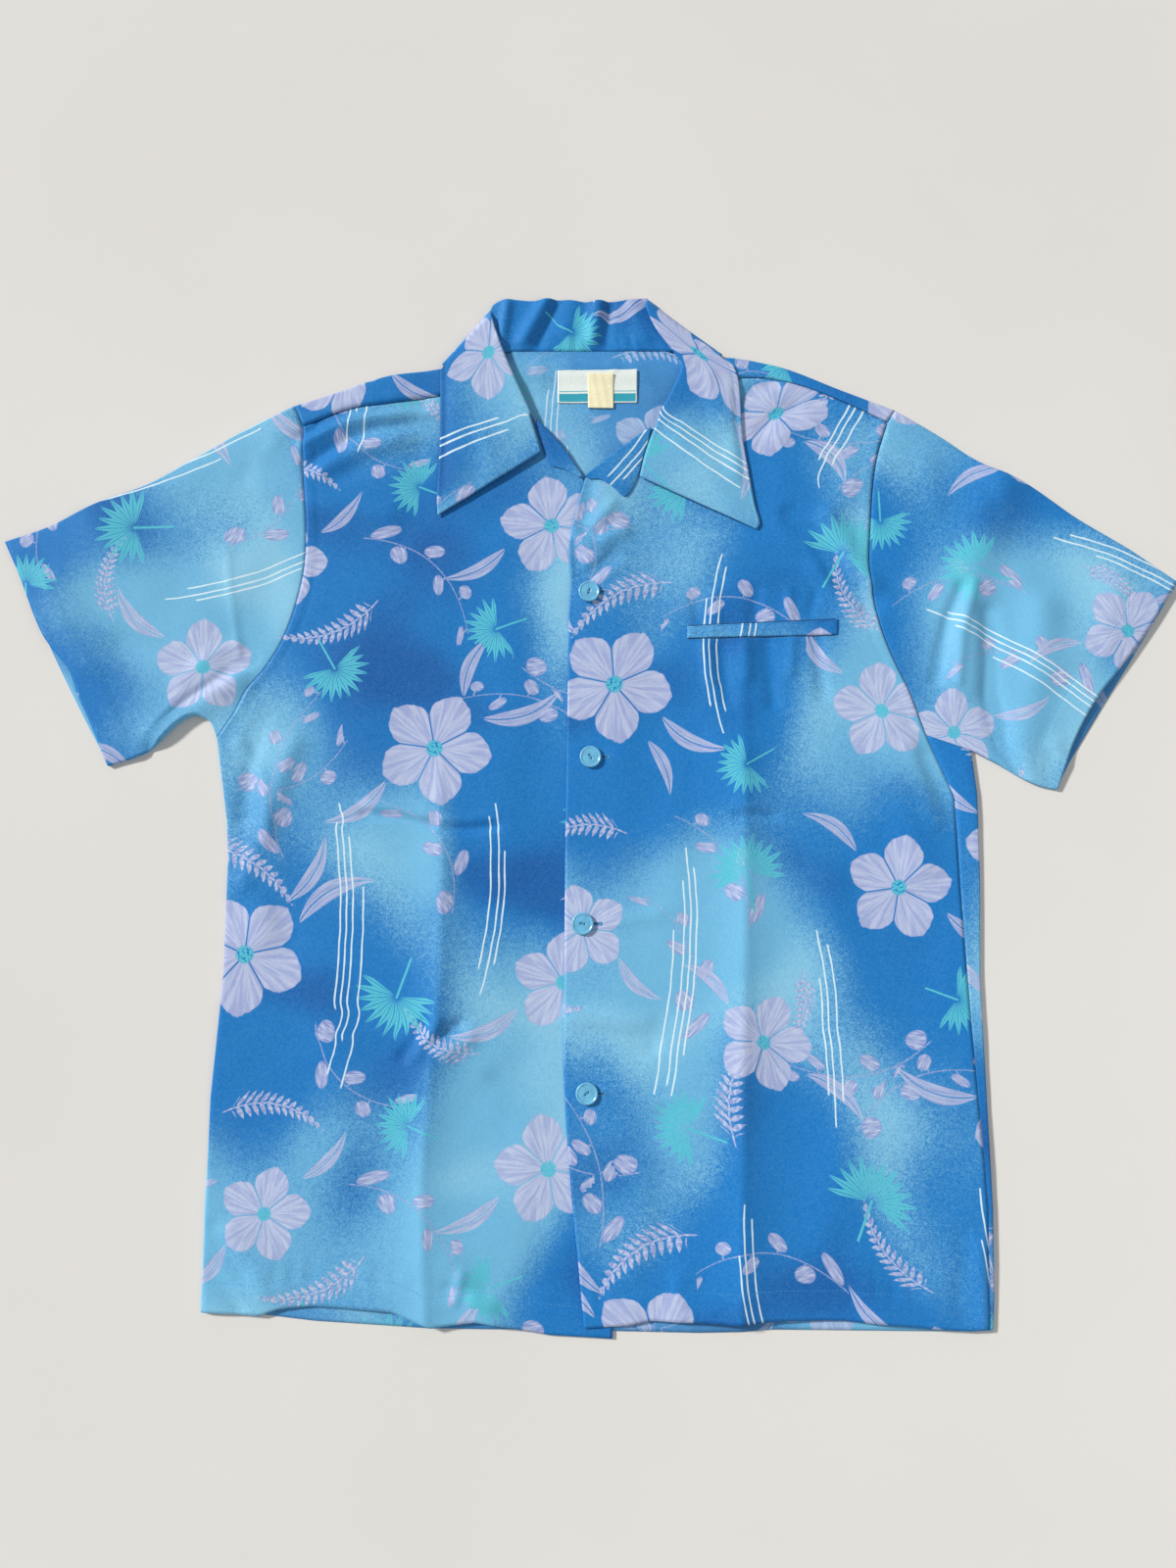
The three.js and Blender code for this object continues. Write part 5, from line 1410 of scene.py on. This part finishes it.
def plain_look(name, shade, roughness, grain_scale, **numbers):
    """Plain finish with a little mottling, in the object's own space"""
    look = Look(name)
    place_node = look.tree.nodes.new("ShaderNodeTexCoord")
    mottle = look.noise(place_node.outputs["Object"], grain_scale, 3.0)
    darker = tuple(c * 0.86 for c in shade)
    lighter = tuple(min(1.0, c * 1.08) for c in shade)
    tone = look.mix(mottle.over(0.3, 0.7), darker, lighter)
    return look.finish(tone, roughness, look.bump(mottle, 0.00005, 0.4), **numbers)


def label_look():
    """Woven label: off-white, with a teal band and a thin line above it"""
    look = Look("woven_label")
    cloth = look.attribute("cloth")["Vector"]
    x, y, _ = look.split(cloth)
    teal = y.over(7.6, 7.2) * y.over(0.9, 1.2)
    line = (y - 9.2).size().over(0.4, 0.2)
    ends = x.over(0.9, 1.3) * x.over(60.0, 59.6)
    fibre = look.noise(cloth, 2.4, 1.0, stretch=(0.3, 1, 1))
    ground = look.mix(fibre.over(0.3, 0.7), colour(214, 226, 222), colour(238, 243, 236))
    ground = look.mix(teal.maths("MAXIMUM", line) * ends, ground, look.mix(fibre, colour(20, 140, 160), colour(50, 176, 196)))
    return look.finish(ground, 0.5, look.bump(fibre, 0.00012, 0.6), Sheen_Weight=0.15)


def tab_look():
    look = Look("cream_tape")
    cloth = look.attribute("cloth")["Vector"]
    fibre = look.noise(cloth, 2.0, 1.0, stretch=(1, 0.25, 1))
    ground = look.mix(fibre.over(0.3, 0.7), colour(232, 222, 178), colour(247, 240, 206))
    return look.finish(ground, 0.62, look.bump(fibre, 0.00012, 0.6))


# Pieces
printed_cloth = printed_look()
label_cloth = label_look()
tab_cloth = tab_look()
thread_look = plain_look("blue_thread", colour(70, 148, 200), 0.6, 900.0)
label_thread_look = plain_look("white_thread", colour(232, 236, 230), 0.6, 900.0)
# Near-black blue of painted shadow, for the buttonhole slits and the lines along the welt's edges
painted_shadow_look = plain_look("buttonhole_shadow", colour(12, 44, 80), 0.9, 500.0)
button_look = plain_look("pearly_plastic", colour(104, 178, 214), 0.28, 260.0, Coat_Weight=0.25)

X_AXIS = np.array([1.0, 0.0])
Y_AXIS = np.array([0.0, 1.0])

right_front_panel = right_front()
right_front_panel.cloth = unroll(right_front_panel, X_AXIS, Y_AXIS, right_front_panel.points.shape[1] - 1)
left_front_panel = left_front()
left_front_panel.cloth = unroll(left_front_panel, X_AXIS, Y_AXIS, left_front_panel.points.shape[1] - 1)
back_panel = back()
back_rows = SIDE_CELLS + ARMHOLE_CELLS + 2
back_panel.cloth = unroll(back_panel, X_AXIS, Y_AXIS, 2 * SHOULDER_CELLS, back_rows)


def sleeve_panel(outline, armhole, seam_line, underarm, away):
    panel = sleeve(outline, armhole, seam_line, underarm, away)
    cuff = (array(outline["top"][-1]) + array(outline["under"][-1])) / 2
    arm = (armhole[0] + armhole[-1]) / 2
    along = direction(cuff, arm)
    across = np.array([along[1], -along[0]]) * -away
    middle = panel.points.shape[1] - TURN_CELLS // 2 - ARMHOLE_CELLS // 2
    panel.cloth = unroll(panel, across, along, middle)
    return panel


right_sleeve_panel = sleeve_panel(RIGHT_SLEEVE, right_armhole, right_shoulder, right_underarm, -1)
left_sleeve_panel = sleeve_panel(LEFT_SLEEVE, left_armhole, left_shoulder, left_underarm, 1)

collar_panel = collar()


def collar_cloth(panel):
    """The collar is cut in one strip: along it by its rows, across it from the neck seam"""
    points = panel.points
    first = COLLAR_FINE_CELLS[0] * COLLAR_STAND_CELLS + COLLAR_FINE_CELLS[2] * COLLAR_ROLL_CELLS
    roll = points[:, first]
    along = distances(roll)[:, None] * np.ones(points.shape[1])
    steps = np.linalg.norm(np.nan_to_num(np.diff(points, axis=1)), axis=-1)
    steps[steps > 100] = 0
    across = np.concatenate([np.zeros((len(points), 1)), np.cumsum(steps, axis=1)], axis=1)
    across -= across[:, first:first + 1]
    return np.stack([along, across], axis=-1)


collar_panel.cloth = collar_cloth(collar_panel)

cloth_piece("back", back_panel, printed_cloth)
cloth_piece("front_right", right_front_panel, printed_cloth)
cloth_piece("front_left", left_front_panel, printed_cloth)
cloth_piece("sleeve_right", right_sleeve_panel, printed_cloth)
cloth_piece("sleeve_left", left_sleeve_panel, printed_cloth)
cloth_piece("collar", collar_panel, printed_cloth)


def lapel_panel(table, height, columns, rows):
    """Turned-out lapel, with its fold rolled down to the front's edge"""
    inner = spline(table["inner"], equal(columns))
    outer = spline(table["outer"], equal(columns))
    share = equal(rows)[:, None, None]
    plan = outer[None] * (1 - share) + inner[None] * share
    gap = np.linalg.norm(plan - plan[:1], axis=-1)
    lift = 1.05 + 0.35 * ramp(gap, 0, 6) + 0.25 * undulation(2.5 * plan[..., 0], 2.5 * plan[..., 1])
    points = raised(plan, height, lift)
    normals = facing(points, 1)
    front = height(inner[:, 0], inner[:, 1])
    radius = (points[-1, :, 2] - front) / 2
    tangent = np.gradient(inner, axis=0)
    out = np.stack([-tangent[:, 1], tangent[:, 0]], axis=1)
    out /= np.linalg.norm(out, axis=1, keepdims=True)
    if np.sum(out * (inner - outer)) < 0:
        out = -out
    angles = np.linspace(0, math.pi, TURN_CELLS + 1)[1:-1]
    centre = lifted(inner, front + radius)
    nose = []
    nose_normals = []
    for angle in angles:
        way = np.concatenate([out * math.sin(angle), np.full((len(out), 1), math.cos(angle))], axis=1)
        nose.append(centre + way * radius[:, None])
        nose_normals.append(way)
    points = np.concatenate([points, np.array(nose)])
    normals = np.concatenate([normals, np.array(nose_normals)])
    panel = Panel(points, normals)
    panel.cloth = points[..., :2]
    return panel


cloth_piece("facing_left", lapel_panel(LEFT_LAPEL, overlap_height, 40, 22), printed_cloth)
cloth_piece("facing_right", lapel_panel(RIGHT_LAPEL, upper_height, 36, 16), printed_cloth)


def corner_edges(table, columns):
    low, high = (array(table[key]) for key in ("low", "high"))
    share = equal(columns)[:, None]
    return low[0] * (1 - share) + low[1] * share, high[0] * (1 - share) + high[1] * share


def welt_panel():
    """Welt of folded cloth, with a thin lip along its upper edge"""
    low, high = corner_edges(POCKET_WELT, 70)
    rows = 18
    panel = patch(low, high, rows, overlap_height, SHELL)
    v = equal(rows)[:, None]
    u = equal(70)[None, :]
    lip = 0.80
    body = 0.75 * np.sqrt(np.clip(1 - (2 * v / lip - 1) ** 6, 0, 1)) * (v < lip)
    roll = 0.55 * np.sqrt(np.clip(1 - (2 * (v - lip) / (1 - lip) - 1) ** 2, 0, 1)) * (v >= lip)
    ends = 1 - np.exp(-(np.minimum(u, 1 - u) / 0.012) ** 2)
    ripple = 0.14 * np.sin(34 * u + 2.4 * np.sin(7 * u)) * np.sin(math.pi * v)
    panel.points[..., 2] += (body + roll) * (0.35 + 0.65 * ends) + ripple - 0.25
    panel.cloth = panel.points[..., :2].copy()
    return panel


cloth_piece("pocket_welt", welt_panel(), printed_cloth)


def back_top(x, y):
    return lower_height(x, y) + PLY * ramp(y, *LABEL_STEP) * 0.55


def label_panel(table, columns, rows, add, curl):
    low, high = corner_edges(table, columns)
    panel = patch(low, high, rows, back_top, add)
    u = equal(columns)[None, :]
    v = equal(rows)[:, None]
    puff = 0.3 * np.sin(math.pi * u) * np.sin(math.pi * v)
    panel.points[..., 2] += puff + curl * (u * v) ** 6 + 0.08 * np.sin(19 * u + 5 * v)
    width = np.linalg.norm(low[-1] - low[0])
    height = np.linalg.norm(high[0] - low[0])
    panel.cloth = np.stack(np.broadcast_arrays(u * width, v * height), axis=-1)
    return panel


label_panel_made = label_panel(NECK_LABEL, 60, 26, SHELL / 2 + 0.45, 0.3)
cloth_piece("neck_label", label_panel_made, label_cloth, "label_cloth", LABEL_SHELL, False)
tab_panel_made = label_panel(SIZE_TAB, 24, 30, SHELL / 2 + 1.1, 0.8)
cloth_piece("size_tab", tab_panel_made, tab_cloth, "tab_cloth", LABEL_SHELL, False)


def button_mesh(name):
    """Sewn-through button with a rim, a shallow dish and an eye with two holes"""
    radius, height = BUTTON["radius"], BUTTON["height"]
    rings = 34
    spokes = 64
    r = radius * np.linspace(0, 1, rings + 1)[1:] ** 0.9
    angle = np.arange(spokes) * math.tau / spokes
    x = r[:, None] * np.cos(angle)
    y = r[:, None] * np.sin(angle)

    def top(x, y):
        r = np.hypot(x, y)
        face = height - BUTTON["dish"] * ramp(r, radius - 0.9, radius - 0.9 - BUTTON["rim"])
        edge = -1.1 * (1 - np.sqrt(np.clip(1 - (np.maximum(0, r - (radius - 1.1)) / 1.1) ** 2, 0, 1)))
        eye = -0.55 * ramp(np.hypot(x / 2.7, y / 1.25), 1.05, 0.75)
        holes = -1.1 * sum(ramp(np.hypot(x - side * 1.25, y), 0.62, 0.48) for side in (-1, 1))
        return face + edge + eye + holes

    upper = np.stack([x, y, top(x, y)], axis=-1).reshape(-1, 3)
    middle = np.array([[0, 0, float(top(np.array(0.0), np.array(0.0)))]])
    skirt = np.stack([radius * np.cos(angle), radius * np.sin(angle), np.full(spokes, 0.7)], axis=-1)
    foot = np.stack([(radius - 1) * np.cos(angle), (radius - 1) * np.sin(angle), np.zeros(spokes)], axis=-1)
    points = np.vstack([middle, upper, skirt, foot, [[0, 0, 0]]])
    last = len(points) - 1
    faces = [[0, 1 + k, 1 + (k + 1) % spokes] for k in range(spokes)]
    for ring in range(rings + 1):
        a = 1 + ring * spokes
        b = a + spokes
        faces.extend([a + k, b + k, b + (k + 1) % spokes, a + (k + 1) % spokes] for k in range(spokes))
    base = 1 + (rings + 1) * spokes
    faces.extend([last, base + (k + 1) % spokes, base + k] for k in range(spokes))
    mesh = bpy.data.meshes.new(name)
    mesh.from_pydata((points * METRES).tolist(), [], faces)
    mesh.polygons.foreach_set("use_smooth", np.ones(len(faces), bool))
    mesh.update()
    return mesh


def bars(name, starts, stops, normals, radius, material, slot):
    """Joined mesh of short round bars, such as stitches, each from start to stop"""
    sides = 6
    rings = [(0.0, 0.0), (0.12, 0.8), (0.5, 1.0), (0.88, 0.8), (1.0, 0.0)]
    way = stops - starts
    normals = normals / np.linalg.norm(normals, axis=1, keepdims=True)
    beside = np.cross(way, normals)
    beside /= np.linalg.norm(beside, axis=1, keepdims=True)
    points = []
    for share, size in rings:
        centre = starts + way * share
        if size == 0:
            points.append(centre[:, None])
            continue
        angle = np.arange(sides) * math.tau / sides
        ring = beside[:, None] * np.cos(angle)[None, :, None] + normals[:, None] * np.sin(angle)[None, :, None] * 0.7
        points.append(centre[:, None] + ring * radius * size)
    points = np.concatenate(points, axis=1)
    count = points.shape[1]
    template = []
    for k in range(sides):
        n = (k + 1) % sides
        template.append([0, 1 + n, 1 + k, 1 + k])
        for ring in range(2):
            a = 1 + ring * sides
            template.append([a + k, a + n, a + sides + n, a + sides + k])
        a = 1 + 2 * sides
        template.append([a + k, a + n, count - 1, count - 1])
    faces = []
    for bar in range(len(points)):
        offset = bar * count
        for face in template:
            short = face[:3] if face[2] == face[3] else face
            faces.append([offset + corner for corner in short])
    mesh = new_mesh(name, points.reshape(-1, 3), faces)
    return add_piece(name, mesh, material, slot)


def row_of_stitches(path, normals, pitch=3.0, length=2.1):
    """Ends of the stitches along a path"""
    at = distances(path)
    count = int(at[-1] / pitch)
    begin = np.arange(count) * pitch + (pitch - length) / 2

    def sample(values, where):
        return np.stack([np.interp(where, at, values[:, axis]) for axis in range(3)], axis=1)

    return sample(path, begin), sample(path, begin + length), sample(normals, begin + length / 2)


def path_at_gap(panel, columns, gap, from_end, side=1.0, rows=None):
    """Path on a panel's face that keeps a distance from its first or last row"""
    points = panel.points[:, columns]
    normals = panel.normals[:, columns]
    if rows is not None:
        points, normals = points[rows], normals[rows]
    if from_end:
        points, normals = points[::-1], normals[::-1]
    path = []
    out = []
    for column in range(points.shape[1]):
        line = points[:, column]
        inside = np.isfinite(line[:, 0])
        line, normal = line[inside], normals[inside, column]
        at = distances(line[:, :2])
        path.append([np.interp(gap, at, line[:, axis]) for axis in range(3)])
        out.append([np.interp(gap, at, normal[:, axis]) for axis in range(3)])
    path = np.array(path)
    out = np.array(out) * side
    return path + out * (SHELL / 2 + 0.02), out


def sewing():
    """Rows of stitches along the hems, cuffs, collar and welt"""
    starts, stops, ups = [], [], []

    def sew(path, out, pitch=3.0, length=2.1):
        for store, values in zip((starts, stops, ups), row_of_stitches(path, out, pitch, length)):
            store.append(values)

    first = STRIP_CELLS + TURN_CELLS
    sew(*path_at_gap(right_front_panel, slice(first, -6), HEM["width"], False))
    sew(*path_at_gap(left_front_panel, slice(2, -2), HEM["width"], False))
    for panel in (right_sleeve_panel, left_sleeve_panel):
        columns = panel.points.shape[1]
        upper = slice(columns - TURN_CELLS // 2 - ARMHOLE_CELLS - 1, columns - TURN_CELLS // 2)
        sew(*path_at_gap(panel, upper, CUFF_HEM["width"], True))
    fall = Panel(collar_panel.points.transpose(1, 0, 2), collar_panel.normals.transpose(1, 0, 2))
    rows = collar_panel.points.shape[0]
    shown = np.flatnonzero(collar_panel.normals[:, -1, 2] > 0.9)
    split = np.flatnonzero(np.diff(shown) > 1)[0] + 1
    for part in (shown[:split], shown[split:]):
        sew(*path_at_gap(fall, part, 5.0, True), 2.6, 1.8)
    assert rows
    low, high = corner_edges(POCKET_WELT, 40)
    for edge, dy in ((low, -0.9), (high, 0.9)):
        line = shifted(edge, 0, dy)
        path = raised(line, overlap_height, SHELL / 2 + 0.02)
        sew(path, facing(path, 1), 2.4, 1.7)
    return [np.vstack(values) for values in (starts, stops, ups)]


bars("cloth_stitching", *sewing(), 0.16, thread_look, "print_cloth")


def welt_painted_shadows():
    """Dark bars of painted shadow where the welt is sewn in, along both its edges"""
    lines = []
    for edge, dy in zip(corner_edges(POCKET_WELT, 60), (-0.35, 0.35)):
        path = raised(shifted(edge, 0, dy), overlap_height, SHELL / 2)
        lines.append(row_of_stitches(path, facing(path, 1), 3.0, 3.8))
    return [np.vstack(values) for values in zip(*lines)]


# Painted shadow along both edges of the welt
bars("welt_painted_shadows", *welt_painted_shadows(), 0.36, painted_shadow_look, "print_cloth")


def label_sewing():
    starts, stops, ups = [], [], []
    grid = label_panel_made.points
    edges = [grid[1], grid[-2], grid[:, 1], grid[:, -2]]
    for edge in edges:
        path = edge + [0, 0, 0.22]
        for store, values in zip((starts, stops, ups), row_of_stitches(path, facing(path, 1), 2.4, 1.7)):
            store.append(values)
    return [np.vstack(values) for values in (starts, stops, ups)]


bars("label_stitching", *label_sewing(), 0.14, label_thread_look, "label_cloth")


def seat(x, y):
    """Height of the left front's face under something small at a place"""
    around = array([(0, 0), (6.5, 0), (-6.5, 0), (0, 6.5), (0, -6.5)])
    heights = overlap_height(around[:, 0] + x, around[:, 1] + y)
    return float(heights.max()) + SHELL / 2


shared_button = button_mesh("button")
hole_starts, hole_stops, hole_ups = [], [], []
for number, (x, y) in enumerate(BUTTONS, start=1):
    mesh = shared_button.copy()
    button = add_piece(f"button_{number}", mesh, button_look, "button_plastic", [f"button_{number}"])
    spin = math.radians(25 + 47 * number)
    seat_height = seat(x, y) + SEAM
    button.matrix_world = Matrix.Translation(Vector(to_frame(np.array([x, y, seat_height])))) @ Matrix.Rotation(
        spin, 4, "Z")
    ends = np.array([(math.cos(spin), math.sin(spin))]) * 1.25
    for shift in (-0.22, 0.22):
        offset = np.array([[-math.sin(spin), math.cos(spin)]]) * shift
        z = seat_height + BUTTON["height"] - BUTTON["dish"] - 0.4
        hole_starts.append(np.array([[x + ends[0, 0] + offset[0, 0], y + ends[0, 1] + offset[0, 1], z]]))
        hole_stops.append(np.array([[x - ends[0, 0] + offset[0, 0], y - ends[0, 1] + offset[0, 1], z]]))
        hole_ups.append(np.array([[0, 0, 1.0]]))
bars("button_thread", np.vstack(hole_starts), np.vstack(hole_stops), np.vstack(hole_ups), 0.24, thread_look,
     "button_plastic")


def buttonholes():
    """Close stitches on both sides of each slit, a bar at its outer end, and a dark bar of painted shade along each
    slit
    """
    starts, stops, ups, slit_starts, slit_stops = [], [], [], [], []
    for x, y in BUTTONS:
        start = x + BUTTONHOLE["from"] - BUTTONHOLE["length"] / 2
        at = start + np.arange(0, BUTTONHOLE["length"], 0.42)
        for side in (-1, 1):
            near = np.stack([at, np.full_like(at, y + side * BUTTONHOLE["slit"] * 0.6)], axis=1)
            far = np.stack([at, np.full_like(at, y + side * (BUTTONHOLE["slit"] + BUTTONHOLE["side"]))], axis=1)
            starts.append(raised(near, overlap_height, SHELL / 2 + 0.08))
            stops.append(raised(far, overlap_height, SHELL / 2 + 0.04))
        bar_at = start + BUTTONHOLE["length"] + np.arange(0, 1.4, 0.35)
        for sign, store in ((-1, starts), (1, stops)):
            plan = np.stack([bar_at, np.full_like(bar_at, y + sign * 1.5)], axis=1)
            store.append(raised(plan, overlap_height, SHELL / 2 + 0.08))
        ends = array([(start, y), (start + BUTTONHOLE["length"], y)])
        slit = raised(ends, overlap_height, SHELL / 2)
        slit_starts.append(slit[:1])
        slit_stops.append(slit[1:])
    starts, stops = np.vstack(starts), np.vstack(stops)
    ups = facing(starts, 1)
    slit_starts, slit_stops = np.vstack(slit_starts), np.vstack(slit_stops)
    bars("buttonhole_stitching", starts, stops, ups, 0.19, thread_look, "print_cloth")
    # Dark bars of painted shade lie along the slits
    bars("buttonhole_slit_shadows", slit_starts, slit_stops, facing(slit_starts, 1), 0.3, painted_shadow_look, "print_cloth")


buttonholes()

# Plain floor, soft studio light from the upper left, and the camera at the photographed angle
FLOOR_SIZE = 12.0
CAMERA = {"tilt": 7.0, "distance": 0.865, "lens": 27.0, "sensor": 36.0}
KEY = {"direction": (0.77, -0.38, -0.53), "strength": 3.85, "softness": 7.0}


def floor():
    half = FLOOR_SIZE / 2
    mesh = bpy.data.meshes.new("floor")
    mesh.from_pydata([(-half, -half, 0), (half, -half, 0), (half, half, 0), (-half, half, 0)], [], [(0, 1, 2, 3)])
    look = Look("floor")
    place_node = look.tree.nodes.new("ShaderNodeTexCoord")
    mottle = look.noise(place_node.outputs["Object"], 3.0, 4.0)
    tone = look.mix(mottle, colour(214, 211, 205), colour(224, 221, 216))
    mesh.materials.append(look.finish(tone, 0.75))
    piece = bpy.data.objects.new("floor", mesh)
    bpy.context.scene.collection.objects.link(piece)


def area_light(name, place_at, aim, size, power, tint=(1, 1, 1)):
    data = bpy.data.lights.new(name, "AREA")
    data.size = size
    data.energy = power
    data.color = tint
    light = bpy.data.objects.new(name, data)
    light.location = place_at
    light.rotation_euler = (Vector(aim) - Vector(place_at)).to_track_quat("-Z", "Y").to_euler()
    bpy.context.scene.collection.objects.link(light)


def sun():
    """Soft key light from the upper left"""
    data = bpy.data.lights.new("key", "SUN")
    data.energy = KEY["strength"]
    data.angle = math.radians(KEY["softness"])
    data.color = (1.0, 0.985, 0.96)
    light = bpy.data.objects.new("key", data)
    light.rotation_euler = Vector(KEY["direction"]).to_track_quat("-Z", "Y").to_euler()
    bpy.context.scene.collection.objects.link(light)


def camera():
    tilt = math.radians(CAMERA["tilt"])
    data = bpy.data.cameras.new("camera")
    data.sensor_fit = "VERTICAL"
    data.sensor_height = CAMERA["sensor"]
    data.lens = CAMERA["lens"]
    eye = bpy.data.objects.new("camera", data)
    aim = Vector(to_frame(np.zeros(3)))
    eye.location = aim + Vector((0, -math.sin(tilt), math.cos(tilt))) * CAMERA["distance"]
    eye.rotation_euler = (tilt, 0, 0)
    bpy.context.scene.collection.objects.link(eye)
    bpy.context.scene.camera = eye


def world():
    data = bpy.data.worlds.new("studio")
    data.use_nodes = True
    data.node_tree.nodes["Background"].inputs["Color"].default_value = (0.93, 0.96, 1.0, 1)
    data.node_tree.nodes["Background"].inputs["Strength"].default_value = 0.34
    bpy.context.scene.world = data
    bpy.context.scene.view_settings.view_transform = "Standard"


floor()
sun()
area_light("fill", (2.2, -1.6, 2.6), (0, 0, 0), 2.4, 24, (0.94, 0.97, 1.0))
camera()
world()
